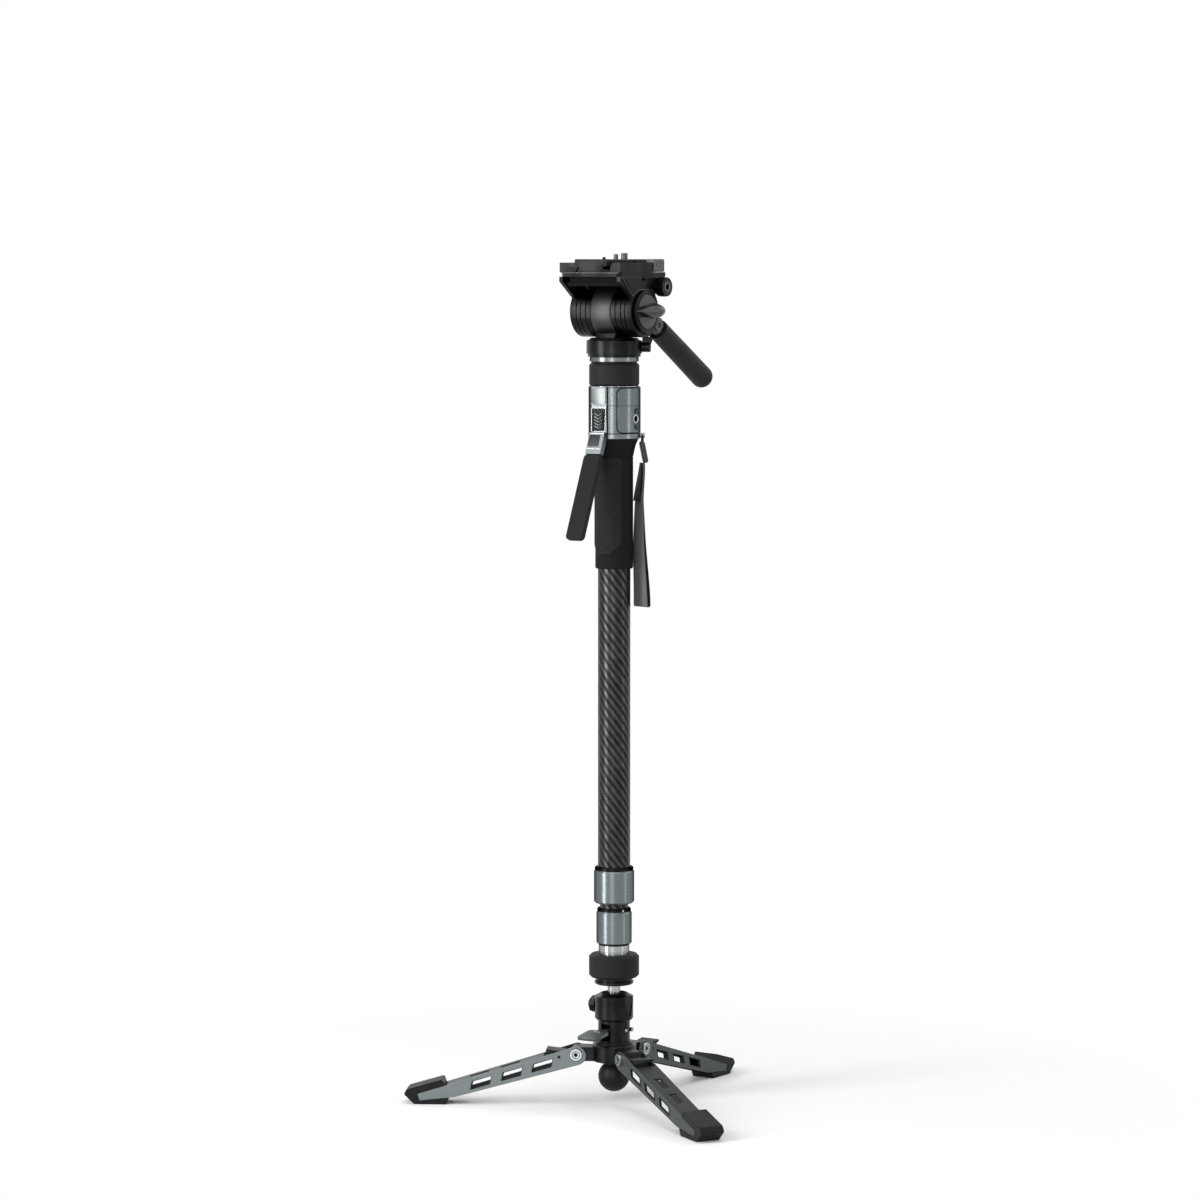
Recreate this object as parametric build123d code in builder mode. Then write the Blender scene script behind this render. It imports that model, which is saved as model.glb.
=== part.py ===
from build123d import *
import math
import os

os.makedirs("parts", exist_ok=True)

# A camera monopod with a folding three-leg base, a squeeze grip and a fluid head, in millimetres.
# The column stands on the Z axis and the floor is z = 0. The front, with the squeeze lever and the
# pedal, is -Y, the right side is +X, and the pan handle points back along +Y.

# Fits
run_gap = 0.05  # a shaft in its bore, or a turning ring on its seat
seat_gap = 0.1  # two pieces that are assembled one in the other
body_gap = 0.3  # two pieces that pass each other
overrun = 10.0  # how far a cut runs past what it cuts

# Hub and neck
hub_bottom = 44.0
hub_height = 17.0
hub_r = 22.0
neck_r = 15.8
neck_height = 24.0
neck_foot_r = 18.6
neck_foot_height = 2.4
hub_top = hub_bottom + hub_height
neck_top = hub_top + neck_height

# Legs, in their own frame: s runs along the leg from the pivot, h square to it
leg_azimuths = (90.0, 210.0, 330.0)
leg_pivot_r = 37.0
leg_pivot_rise = 7.5
leg_tip_z = 5.615
leg_width = 24.0
leg_wall = 2.0
leg_length = 163.0
leg_top_root = 7.6
leg_top_tip = 4.7
leg_bottom_root = 10.9
leg_bottom_knee = 8.4
leg_bottom_tip = 2.1
leg_knee_share = 0.785
web_start = 32.0
web_tip_gap = 30.0
slot_place_shares = (0.2178, 0.411, 0.6074)
slot_length = 24.0
slot_height = 7.2
slot_slant = 4.0
slot_centre = -1.6
top_slot_length = 20.0
top_slot_width = 8.0
lug_r = 7.0
leg_pivot_z = hub_bottom + leg_pivot_rise
leg_slope = math.degrees(math.asin((leg_pivot_z - leg_tip_z) / leg_length))
web_end = leg_length - web_tip_gap
slot_places = tuple(share * leg_length for share in slot_place_shares)
leg_tip_r = leg_pivot_r + leg_length * math.cos(math.radians(leg_slope))
lug_width = leg_width - 2 * leg_wall - 2 * body_gap
pivot_pin_r = 4.0
pivot_head_r = 5.7
pivot_head_height = 2.9
pivot_socket_r = 2.4
pivot_socket_depth = 1.8

# Rubber feet, in the upright plane of the leg: distance from the axis and height
foot_width = 25.0
foot_cover = 30.4
foot_length = 45.6
foot_height = 25.0
foot_outline_shares = ((0.0, 0.28), (0.08, 0.0), (0.768, 0.0), (1.0, 0.40), (0.91, 0.60), (0.154, 1.0))
foot_heel_r = leg_tip_r - foot_cover

# Latch tabs
latch_pin_s = 17.0
latch_pin_h = 2.0
latch_pin_r = 1.5
latch_length = 19.0
latch_height = 13.5
latch_start = 9.5
latch_base = -1.0
latch_outline_shares = ((0.0, 0.0), (0.0, 0.5), (0.5, 0.74), (0.92, 1.0), (1.0, 0.9), (0.6, 0.4), (0.6, 0.0))

# Ball foot
ball_foot_r = 15.6
ball_foot_drop = 31.0
ball_foot_neck_r = 10.0
ball_foot_stud_r = 5.0
ball_foot_stud_length = 10.0

# Pedal, its axle and the brake plunger
pedal_pivot_y = 9.4
pedal_pivot_rise = 14.0
pedal_axle_r = 2.0
pedal_arm_width = 8.0
pedal_arm_height = 5.0
pedal_arm_tail = 3.2
pedal_plate_width = 23.5
pedal_plate_start = 26.0
pedal_plate_length = 24.6
pedal_plate_thickness = 2.8
pedal_plate_corner = 4.0
pedal_drop = 9.0
pedal_slot_width = 10.0
pedal_slot_start = 4.0
pedal_slot_height = 17.4
plunger_r = 7.0
plunger_start = 6.2
plunger_window_start = 7.8
plunger_window_height = 10.2
pedal_pivot_z = hub_top + pedal_pivot_rise
pedal_slot_bottom = hub_top + pedal_slot_start
pedal_slot_top = pedal_slot_bottom + pedal_slot_height
plunger_bottom = hub_top + plunger_start
plunger_window_bottom = hub_top + plunger_window_start
plunger_window_top = plunger_window_bottom + plunger_window_height

# Ball joint
ball_r = 14.5
cup_depth = 12.0
cup_outer_r = 16.0
cup_boss_r = 11.0
cup_bottom_drop = 4.5
cup_hole_r = 4.0
cup_floor = 2.0
housing_r = 19.0
housing_height = 17.0
cap_height = 7.0
cap_dome_height = 3.0
cap_mouth_r = 11.2
cap_rim_r = 13.3
notch_top_half = 9.0
notch_bottom_half = 2.2
notch_depth = 1.4
notch_bottom_drop = 12.0
lock_stud_r = 3.0
lock_z_drop = 1.5
lock_knob_r = 8.5
lock_knob_tip_r = 4.4
lock_knob_root = 5.6
lock_knob_length = 8.9
ball_z = neck_top + cup_depth
housing_top = neck_top + housing_height
cap_top = housing_top + cap_height + cap_dome_height

# Stem and base lock ring
stem_r = 6.2
stem_length = 24.0
spindle_r = 5.0
spindle_length = 26.0
spindle_chamfer = 1.2
flange_r = 19.3
flange_height = 6.0
flange_groove = 1.2
base_ring_r = 24.8
base_ring_height = 23.0
base_ring_chamfer = 2.4
ring_air = 1.0
fitting_r = 14.5
fitting_rim_r = 15.2
fitting_rim_height = 6.0
flange_z = ball_z + stem_length
flange_top = flange_z + flange_height
base_ring_z = flange_top + ring_air
fitting_top = base_ring_z + base_ring_height + ring_air + fitting_rim_height + ring_air + ring_air

# Tubes and collars
tube_gap = 0.15
lower_tube_r = 12.3
lower_tube_wall = 1.5
mid_tube_wall = 1.6
main_tube_wall = 1.8
lower_tube_socket = 10.0
main_tube_length = 422.0
mid_tube_drop = 45.0
lower_tube_drop = 6.1
collar_air = 1.0
collar_height = 36.0
collar_spacing = 5.0
collar_lip = 7.0
collar_chamfer = 1.6
clutch_height = 20.0
mid_collar_r = 17.5
main_collar_r = 19.9
clutch_wall = 2.5
collar_groove = 0.8
collar_band = 3.0
mid_tube_bore = lower_tube_r + tube_gap
mid_tube_r = mid_tube_bore + mid_tube_wall
main_tube_bore = mid_tube_r + tube_gap
main_tube_r = main_tube_bore + main_tube_wall
mid_collar_z = fitting_top + collar_air
main_collar_z = mid_collar_z + collar_height + collar_spacing
tube_socket = collar_lip + clutch_height + 2 * seat_gap
lower_foot_z = fitting_top - lower_tube_socket + seat_gap
mid_foot_z = mid_collar_z + tube_socket
main_foot_z = main_collar_z + tube_socket
main_tube_top = main_foot_z + main_tube_length
mid_tube_top = main_tube_top - mid_tube_drop
lower_tube_top = mid_tube_top - lower_tube_drop

# Grip
tube_rise = 8.2  # how far the main tube stands up into the grip collar
grip_height = 110.0
grip_r = 18.6
grip_edge = 1.2
grip_panel_half = 16.4
grip_panel_height = 96.0
grip_panel_corner = 9.0
grip_panel_rise = 0.7
grip_collar_height = 18.0
grip_collar_r = 23.6
grip_collar_knee_share = 0.62
grip_top = main_tube_top - tube_rise
grip_z = grip_top - grip_height
grip_collar_top = grip_top + grip_collar_height

# Housing above the grip
strap_ring_height = 4.7
strap_ring_r = 25.3
strap_ring_bore = 10.0
strap_azimuth = 36.0
strap_lug_reach = 4.6
strap_lug_width = 4.4
strap_eye_r = 1.6
shell_r = 25.2
shell_wall = 4.0
lower_shell_height = 27.3
upper_shell_height = 17.8
shell_floor = 5.0
boss_width = 17.2
boss_reach = 27.0
panel_rise = 0.7
panel_half = 19.5
panel_corner = 4.5
panel_margin = 1.0
capsule_width = 8.6
capsule_height = 22.0
capsule_depth = 1.2
capsule_z = 14.4
accessory_hole_r = 3.1
accessory_hole_depth = 9.0
locating_hole_r = 1.2
locating_hole_spacing = 14.6
locating_hole_depth = 4.0
button_width = 11.4
button_height = 18.4
button_bottom = 3.4
button_depth = 6.0
button_stand = 1.2
button_travel = 2.0
button_chamfer = 1.0
strap_ring_z = grip_collar_top + seat_gap
shell_z = strap_ring_z + strap_ring_height + seat_gap
upper_shell_z = shell_z + lower_shell_height + body_gap
shell_top = upper_shell_z + upper_shell_height
window_depth = button_depth - button_stand + button_travel + body_gap
panel_r = shell_r + panel_rise

# Squeeze lever, in its own frame: v runs down the lever from the top of its front face
lever_slant = 22.5
lever_front = 30.3
lever_top_rise = 1.2
lever_width = 17.4
lever_thickness = 5.6
lever_root_length = 21.6
lever_paddle_width = 20.4
lever_paddle_end = 110.0
lever_paddle_corner = 4.5
lever_paddle_edge = 1.2
lever_arm_width = 8.0
lever_arm_height = 3.6
lever_pivot_y = -14.0
lever_axle_r = 1.8
lever_axle_half = 11.0
lever_slot_drop = 6.0

# Release rod
rod_r = 3.0
rod_foot_rise = 8.85

# Head lock ring and head mount
head_ring_r = 24.6
head_ring_height = 22.0
head_ring_chamfer = 1.6
head_shaft_r = 15.0
mount_flange_r = 24.1
mount_flange_height = 4.5
head_stud_r = 4.76
head_stud_length = 11.0
head_ring_z = shell_top + ring_air
mount_flange_z = head_ring_z + head_ring_height + 2 * ring_air

# Pan base
pan_step_r = 26.0
pan_step_height = 3.0
pan_r = 27.3
pan_height = 12.6
pan_cone_r = 20.0
pan_cone_height = 2.6
pan_z = mount_flange_z + mount_flange_height
pan_top = pan_z + pan_step_height + pan_height

# Tilt housing and drums
tilt_rise = 28.4
housing_half = 12.0
housing_arch_r = 25.8
housing_front = 24.5
housing_foot_drop = 22.5
neck_half_y = 18.0
drum_start = housing_half + body_gap
drum_end = 31.5
drum_r = 25.0
drum_groove_r = 23.8
drum_groove_width = 1.2
drum_groove_shares = (0.22, 0.55, 0.80)
tilt_axle_r = 4.0
drum_cap_r = 20.8
drum_cap_height = 3.6
tilt_z = pan_top + tilt_rise

# Yoke and camera bed
cheek_thickness = 4.0
cheek_ring_bore = 21.4
bed_half = 35.0
bed_front = 43.5
bed_back = 42.0
bed_bottom_rise = 34.0
bed_thickness = 4.3
rail_height = 5.4
side_rail_top = 9.4
side_rail_width = 8.0
front_rail_length = 58.0
boss_y = 26.0
boss_z_drop = 10.0
boss_r = 7.0
boss_start = 26.0
cheek_front_shares = ((-1.0, 1.0), (-1.0, 0.86), (-0.44, 0.34), (-0.1, 0.5), (-0.1, 1.0))
cheek_back_shares = ((0.02, 1.0), (0.02, 0.5), (0.36, 0.4), (0.86, 0.9), (0.86, 1.0))
bed_z = tilt_z + bed_bottom_rise
bed_top = bed_z + bed_thickness

# Camera plate, its screw and pin
plate_half = 18.5
plate_front = 42.0
plate_back = 45.0
plate_thickness = 7.0
plate_edge = 1.0
dovetail_top_half = 13.6
dovetail_bottom_half = 16.4
screw_y = 18.0
screw_r = 3.175
screw_stand = 6.0
screw_neck_r = 3.5
screw_head_r = 7.0
screw_head_height = 2.4
pin_y = 3.0
pin_r = 2.2
pin_stand = 5.0
pin_travel = 3.0
pin_flange_r = 3.2
pin_flange_height = 1.2
bump_y = -18.0
bump_r = 1.6
bump_stand = 2.0
side_hole_r = 2.4
side_hole_y = 8.0
side_hole_depth = 8.0
dovetail_z = bed_top + body_gap
plate_z = dovetail_z + rail_height
plate_top = plate_z + plate_thickness

# Clamp jaw, clamp knob and plate release
jaw_back_x = 22.0
jaw_start = -24.0
jaw_end = 40.0
jaw_travel = 1.5
knob_r = 9.2
knob_width = 9.2
knob_teeth = 20
knob_tooth = 0.7
knob_socket_r = 2.6
knob_socket_depth = 2.4
knob_stud_r = 2.5
release_reach = 9.4
release_y = 17.0
release_length = 18.0
release_height = 12.6
release_travel = 2.5
release_chamfer = 1.2
release_start_x = jaw_back_x + jaw_travel + release_travel + 2 * body_gap

# Tilt knob
tilt_knob_r = 20.6
tilt_knob_disc = 3.0
tilt_knob_chamfer = 1.0
tilt_scoop_r = 26.0
tilt_scoop_depth = 1.6
tilt_scoop_share = 0.42
lobe_length = 42.0
lobe_height = 13.6
lobe_rise = 9.6
lobe_outline_shares = ((-0.45, 0.0), (-0.1, 0.16), (0.14, 0.5), (0.34, 0.5), (0.52, 0.16), (0.52, 0.0))
ridge_shares = ((-0.45, 0.0), (-0.42, 0.12), (0.0, 0.3), (0.3, 1.0), (0.46, 1.0), (0.5, 0.8), (0.46, 0.0))

# Pan lock knob
pan_lock_azimuth = 25.0
pan_lock_drop = 6.1
pan_lock_hub_r = 5.0
pan_lock_hub_length = 8.0
pan_lock_wing_height = 10.4
pan_lock_wing_thickness = 4.6
pan_lock_wing_shares = ((0.05, 0.0), (0.05, 1.0), (0.9, 0.95), (1.3, 0.8), (1.0, 0.1))

# Pan handle
handle_x = 26.0
handle_pivot_y = 30.0
handle_pivot_z_drop = 13.0
handle_slant = 30.6
handle_start = 9.0
handle_length = 105.0
handle_root_r = 10.4
handle_tip_r = 11.2
handle_core_r = 5.0
socket_r = 6.8
socket_width = 15.0
socket_pin_r = 3.0
arm_width = 5.0
arm_root_share = 0.5
handle_round_share = 0.9
handle_pivot_z = tilt_z - handle_pivot_z_drop

# Wrist strap
cord_r = 1.2
cord_loop_half = 4.0
cord_bend = 2.4
buckle_width = 22.0
buckle_height = 20.0
buckle_thickness = 3.4
buckle_bar = 3.6
buckle_lean = 14.0
buckle_air = 4.0
webbing_width = 20.0
webbing_thickness = 5.0
webbing_length = 142.0
webbing_place_shares = (0.0, 0.33, 0.66, 1.0)
webbing_turns = (0.0, 24.0, 48.0, 66.0)
webbing_swings = (0.0, 3.4, 5.6, 6.0)
strap_reach = 3.4
strap_r = shell_r + strap_reach


def outward(azimuth):
    """The level direction at an azimuth."""
    return Vector(math.cos(math.radians(azimuth)), math.sin(math.radians(azimuth)), 0)


def upright_plane(azimuth):
    """The upright plane through the column's axis: x runs outwards and y up."""
    out = outward(azimuth)
    return Plane(origin=(0, 0, 0), x_dir=out, z_dir=(out.Y, -out.X, 0))


def leg_plane(azimuth):
    """The plane of a leg's side, with its origin on the pivot: x runs along the leg and y square to it."""
    out = outward(azimuth)
    slope = math.radians(leg_slope)
    pivot = out * leg_pivot_r + Vector(0, 0, leg_pivot_z)
    along = out * math.cos(slope) + Vector(0, 0, -math.sin(slope))
    return Plane(origin=pivot, x_dir=along, z_dir=(out.Y, -out.X, 0))


def spread(shares, width, height, x=0.0, y=0.0):
    """Outline points from shares of a width and a height, moved to x, y."""
    return [(x + width * across, y + height * up) for across, up in shares]


def save(piece, name):
    """Label a piece and write it as its own file."""
    piece.label = name
    export_step(piece, f"parts/{name}.step")


# Hub: a turned body with three lugs between the legs' side plates
plunger_bore = plunger_r + run_gap
cup_boss_bore = cup_boss_r + run_gap
cup_bottom = neck_top - cup_bottom_drop
with BuildPart() as base_hub:
    with BuildSketch(Plane.XY.offset(hub_bottom)):
        Circle(hub_r)
    extrude(amount=hub_height)
    chamfer(base_hub.edges().filter_by(GeomType.CIRCLE), neck_foot_height / 2)
    with BuildSketch(Plane.XY.offset(hub_top)):
        Circle(neck_foot_r)
    extrude(amount=neck_foot_height)
    with BuildSketch(Plane.XY.offset(hub_top)):
        Circle(neck_r)
    extrude(amount=neck_height)
    for azimuth in leg_azimuths:
        with BuildSketch(upright_plane(azimuth)):
            with Locations((leg_pivot_r, leg_pivot_z)):
                Circle(lug_r)
            with Locations(((leg_pivot_r + neck_r) / 2, leg_pivot_z)):
                Rectangle(leg_pivot_r - neck_r, 2 * lug_r)
        extrude(amount=lug_width / 2, both=True)
        with BuildSketch(leg_plane(azimuth)):
            Circle(pivot_pin_r + seat_gap)
        extrude(amount=lug_width, both=True, mode=Mode.SUBTRACT)
    with BuildSketch(Plane.XY.offset(pedal_slot_bottom)):
        Circle(plunger_bore)
    extrude(amount=neck_height, mode=Mode.SUBTRACT)
    with BuildSketch(Plane.XY.offset(cup_bottom - body_gap)):
        Circle(cup_boss_bore)
    extrude(amount=neck_height, mode=Mode.SUBTRACT)
    with BuildSketch(Plane.XZ):
        with Locations((0, (pedal_slot_bottom + pedal_slot_top) / 2)):
            Rectangle(pedal_slot_width, pedal_slot_top - pedal_slot_bottom)
    extrude(amount=neck_r + overrun, mode=Mode.SUBTRACT)
    with BuildSketch(Plane.XZ):
        with Locations((0, pedal_pivot_z)):
            Rectangle(pedal_arm_width + 2 * body_gap, 2 * pedal_arm_height)
    extrude(amount=-(pedal_pivot_y + pedal_arm_tail + body_gap), mode=Mode.SUBTRACT)
    with BuildSketch(Plane.YZ):
        with Locations((pedal_pivot_y, pedal_pivot_z)):
            Circle(pedal_axle_r + seat_gap)
    extrude(amount=neck_r + overrun, both=True, mode=Mode.SUBTRACT)
    with BuildSketch(Plane.XY.offset(hub_bottom)):
        Circle(ball_foot_stud_r + seat_gap)
    extrude(amount=ball_foot_stud_length + seat_gap, mode=Mode.SUBTRACT)
save(base_hub.part, "base_hub")

# Ball foot: a rubber ball under the hub, on its stud
ball_foot_z = hub_bottom - ball_foot_drop + ball_foot_r
with BuildPart() as ball_foot:
    with Locations((0, 0, ball_foot_z)):
        Sphere(ball_foot_r)
    with BuildSketch(Plane.XY.offset(ball_foot_z)):
        Circle(ball_foot_neck_r)
    extrude(amount=hub_bottom - ball_foot_z)
    split(bisect_by=Plane.XY.offset(hub_bottom), keep=Keep.BOTTOM)
    with BuildSketch(Plane.XY.offset(hub_bottom)):
        Circle(ball_foot_stud_r)
    extrude(amount=ball_foot_stud_length)
save(ball_foot.part, "ball_foot")

# Legs: an open channel with slanted slots, a rubber foot over its end and a latch tab at its root
leg_outline = (
    (0, leg_top_root),
    (leg_length, leg_top_tip),
    (leg_length, -leg_bottom_tip),
    (leg_length * leg_knee_share, -leg_bottom_knee),
    (0, -leg_bottom_root),
)
root_r = (leg_top_root + leg_bottom_root) / 2
root_drop = (leg_top_root - leg_bottom_root) / 2
latch_half = lug_width / 2
latch_outline = spread(latch_outline_shares, latch_length, latch_height, latch_start, latch_base)
slot_half = slot_length / 2
slot_rise = slot_height / 2
for number, azimuth in enumerate(leg_azimuths, start=1):
    side = leg_plane(azimuth)
    upright = upright_plane(azimuth)
    top_middle = side.from_local_coords(Vector(0, leg_top_root, 0))
    top = Plane(origin=top_middle, x_dir=side.x_dir, z_dir=side.y_dir)
    with BuildPart() as leg:
        with BuildSketch(side):
            Polygon(*leg_outline, align=None)
            with Locations((0, root_drop)):
                Circle(root_r)
        extrude(amount=leg_width / 2, both=True)
        with BuildSketch(side):
            Polygon(
                (-root_r, leg_top_root - leg_wall),
                (0, leg_top_root - leg_wall),
                (leg_length, leg_top_tip - leg_wall),
                (leg_length, -2 * leg_bottom_root),
                (-root_r, -2 * leg_bottom_root),
                align=None,
            )
            for open_start, open_end in ((-root_r, web_start), (web_end, leg_length + root_r)):
                with Locations(((open_start + open_end) / 2, 0)):
                    Rectangle(open_end - open_start, 4 * root_r)
        extrude(amount=leg_width / 2 - leg_wall, both=True, mode=Mode.SUBTRACT)
        with BuildSketch(side):
            for place in slot_places:
                with Locations((place, slot_centre)):
                    Polygon(
                        (-slot_half, slot_rise),
                        (slot_half - slot_slant, slot_rise),
                        (slot_half, -slot_rise),
                        (-slot_half + slot_slant, -slot_rise),
                        align=None,
                    )
        extrude(amount=leg_width, both=True, mode=Mode.SUBTRACT)
        with BuildSketch(top):
            for place in slot_places[1:]:
                with Locations((place, 0)):
                    Rectangle(top_slot_length, top_slot_width)
        extrude(amount=-leg_bottom_root, mode=Mode.SUBTRACT)
        with BuildSketch(side):
            Circle(pivot_pin_r + run_gap)
            with Locations((latch_pin_s, latch_pin_h)):
                Circle(latch_pin_r + run_gap)
        extrude(amount=leg_width, both=True, mode=Mode.SUBTRACT)
    save(leg.part, f"leg_{number}")

    with BuildPart() as foot:
        with BuildSketch(upright):
            Polygon(*spread(foot_outline_shares, foot_length, foot_height, foot_heel_r), align=None)
        extrude(amount=foot_width / 2, both=True)
        crosswise = foot.edges().filter_by(lambda edge: abs(edge.length - foot_width) < run_gap)
        fillet(crosswise.sort_by(Axis.Z)[2:], leg_wall)
        for flip in (1, -1):
            with BuildSketch(side.offset(flip * (leg_width / 2 - leg_wall - seat_gap))):
                Polygon(*leg_outline, align=None)
                offset(amount=seat_gap, mode=Mode.REPLACE)
            extrude(amount=flip * leg_wall * 2, mode=Mode.SUBTRACT)
    save(foot.part, f"foot_{number}")

    with BuildPart() as latch:
        with BuildSketch(side):
            Polygon(*latch_outline, align=None)
        extrude(amount=latch_half, both=True)
        with BuildSketch(side):
            with Locations((latch_pin_s, latch_pin_h)):
                Circle(latch_pin_r)
        extrude(amount=leg_width / 2, both=True)
    save(latch.part, f"latch_{number}")

# Pivot screws: one through each lug, with a socket head on both sides
with BuildPart() as leg_pivot_screws:
    for azimuth in leg_azimuths:
        side = leg_plane(azimuth)
        with BuildSketch(side):
            Circle(pivot_pin_r)
        extrude(amount=leg_width / 2 + seat_gap, both=True)
        for flip in (1, -1):
            with BuildSketch(side.offset(flip * (leg_width / 2 + seat_gap))):
                Circle(pivot_head_r)
            extrude(amount=flip * pivot_head_height)
            with BuildSketch(side.offset(flip * (leg_width / 2 + seat_gap + pivot_head_height))):
                RegularPolygon(pivot_socket_r, 6)
            extrude(amount=-flip * pivot_socket_depth, mode=Mode.SUBTRACT)
save(leg_pivot_screws.part, "leg_pivot_screws")

# Pedal: a plate in front of the neck on an arm that turns on the axle, and moves the plunger
arm_half = pedal_arm_width / 2
with BuildPart() as pedal:
    with BuildSketch(Plane.YZ):
        with Locations((pedal_pivot_y, pedal_pivot_z)):
            Circle(pedal_arm_tail)
        Polygon(
            (pedal_pivot_y, pedal_pivot_z - pedal_arm_height / 2),
            (-pedal_plate_start - pedal_arm_height, pedal_pivot_z - pedal_arm_height / 2),
            (-pedal_plate_start - pedal_arm_height, pedal_pivot_z + pedal_arm_height / 2),
            (pedal_pivot_y, pedal_pivot_z + pedal_arm_height / 2),
            align=None,
        )
    extrude(amount=arm_half, both=True)
    slope = math.radians(pedal_drop)
    plate_plane = Plane(
        origin=(0, -pedal_plate_start, pedal_pivot_z + pedal_arm_height / 2),
        x_dir=(1, 0, 0),
        z_dir=(0, -math.sin(slope), math.cos(slope)),
    )
    with BuildSketch(plate_plane):
        with Locations((0, -pedal_plate_length / 2)):
            RectangleRounded(pedal_plate_width, pedal_plate_length, pedal_plate_corner)
    extrude(amount=-pedal_plate_thickness)
    with BuildSketch(Plane.YZ):
        with Locations((pedal_pivot_y, pedal_pivot_z)):
            Circle(pedal_axle_r + run_gap)
    extrude(amount=pedal_arm_width, both=True, mode=Mode.SUBTRACT)
save(pedal.part, "pedal")

with BuildPart() as pedal_axle:
    with BuildSketch(Plane.YZ):
        with Locations((pedal_pivot_y, pedal_pivot_z)):
            Circle(pedal_axle_r)
    extrude(amount=neck_r, both=True)
save(pedal_axle.part, "pedal_axle")

# Brake plunger: a rod under the ball seat with a window that the pedal's arm passes through
plunger_top = cup_bottom - body_gap
with BuildPart() as brake_plunger:
    with BuildSketch(Plane.XY.offset(plunger_bottom)):
        Circle(plunger_r)
    extrude(amount=plunger_top - plunger_bottom)
    with BuildSketch(Plane.YZ):
        with Locations((0, (plunger_window_bottom + plunger_window_top) / 2)):
            Rectangle(3 * plunger_r, plunger_window_top - plunger_window_bottom)
    extrude(amount=arm_half + body_gap, both=True, mode=Mode.SUBTRACT)
save(brake_plunger.part, "brake_plunger")

# Ball seat: a plastic cup under and around the ball, with a boss down into the neck
seat_bore_r = ball_r + run_gap
seat_low = math.sqrt(seat_bore_r**2 - cup_hole_r**2)
with BuildPart() as ball_seat:
    with BuildSketch(Plane.XZ):
        Polygon(
            (0, cup_bottom),
            (cup_boss_r, cup_bottom),
            (cup_boss_r, neck_top + cup_floor + body_gap),
            (cup_outer_r, neck_top + cup_floor + body_gap),
            (cup_outer_r, ball_z),
            (0, ball_z),
            align=None,
        )
    revolve(axis=Axis.Z)
    with Locations((0, 0, ball_z)):
        Sphere(seat_bore_r, mode=Mode.SUBTRACT)
    with BuildSketch(Plane.XY.offset(cup_bottom)):
        Circle(cup_hole_r)
    extrude(amount=seat_low, mode=Mode.SUBTRACT)
save(ball_seat.part, "ball_seat")

# Clamp notch: a V in the housing and its cap, on the right side
with BuildPart() as clamp_notch:
    with BuildSketch(Plane.YZ.offset(housing_r - notch_depth)):
        Polygon(
            (-notch_top_half, cap_top),
            (notch_top_half, cap_top),
            (notch_bottom_half, housing_top - notch_bottom_drop),
            (-notch_bottom_half, housing_top - notch_bottom_drop),
            align=None,
        )
    extrude(amount=overrun)

# Ball housing: a cup screwed on the neck, and the cap that holds the ball down
lock_z = ball_z + lock_z_drop
with BuildPart() as ball_housing:
    with BuildSketch(Plane.XY.offset(neck_top)):
        Circle(housing_r)
    extrude(amount=housing_height)
    chamfer(ball_housing.edges().group_by(Axis.Z)[0], cup_floor)
    with BuildSketch(Plane.XY.offset(neck_top)):
        Circle(cup_boss_bore)
    extrude(amount=housing_height, mode=Mode.SUBTRACT)
    with BuildSketch(Plane.XY.offset(neck_top + cup_floor)):
        Circle(cup_outer_r + run_gap)
    extrude(amount=housing_height, mode=Mode.SUBTRACT)
    with BuildSketch(Plane.YZ):
        with Locations((0, lock_z)):
            Circle(lock_stud_r + run_gap)
    extrude(amount=-(housing_r + overrun), mode=Mode.SUBTRACT)
    add(clamp_notch.part, mode=Mode.SUBTRACT)
save(ball_housing.part, "ball_housing")

with BuildPart() as housing_cap:
    with BuildSketch(Plane.XZ):
        Polygon(
            (0, housing_top + seat_gap),
            (housing_r, housing_top + seat_gap),
            (housing_r, housing_top + cap_height),
            (cap_rim_r, cap_top),
            (0, cap_top),
            align=None,
        )
    revolve(axis=Axis.Z)
    with Locations((0, 0, ball_z)):
        Sphere(ball_r + seat_gap, mode=Mode.SUBTRACT)
    mouth_z = ball_z + math.sqrt(ball_r**2 - cap_mouth_r**2)
    with BuildSketch(Plane.XZ):
        Polygon(
            (0, mouth_z - seat_gap),
            (cap_mouth_r, mouth_z - seat_gap),
            (cap_rim_r, cap_top),
            (cap_rim_r, cap_top + overrun),
            (0, cap_top + overrun),
            align=None,
        )
    revolve(axis=Axis.Z, mode=Mode.SUBTRACT)
    add(clamp_notch.part, mode=Mode.SUBTRACT)
save(housing_cap.part, "housing_cap")

# Ball lock knob: a wing on a stud through the housing's left side
lock_stud_start = cup_outer_r + run_gap + seat_gap
knob_inner_x = housing_r + body_gap
with BuildPart() as ball_lock_knob:
    with BuildSketch(Plane.YZ.offset(-lock_stud_start)):
        with Locations((0, lock_z)):
            Circle(lock_stud_r)
    extrude(amount=-(knob_inner_x - lock_stud_start + cup_floor))
    with BuildSketch(Plane.YZ.offset(-knob_inner_x)):
        with Locations((0, lock_z)):
            RegularPolygon(lock_knob_r, 8)
    extrude(amount=-lock_knob_root)
    with BuildSketch(Plane.YZ.offset(-knob_inner_x - lock_knob_root)):
        with Locations((0, lock_z)):
            RegularPolygon(lock_knob_r, 8)
    with BuildSketch(Plane.YZ.offset(-knob_inner_x - lock_knob_length)):
        with Locations((0, lock_z)):
            RegularPolygon(lock_knob_tip_r, 8)
    loft()
save(ball_lock_knob.part, "ball_lock_knob")

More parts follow.
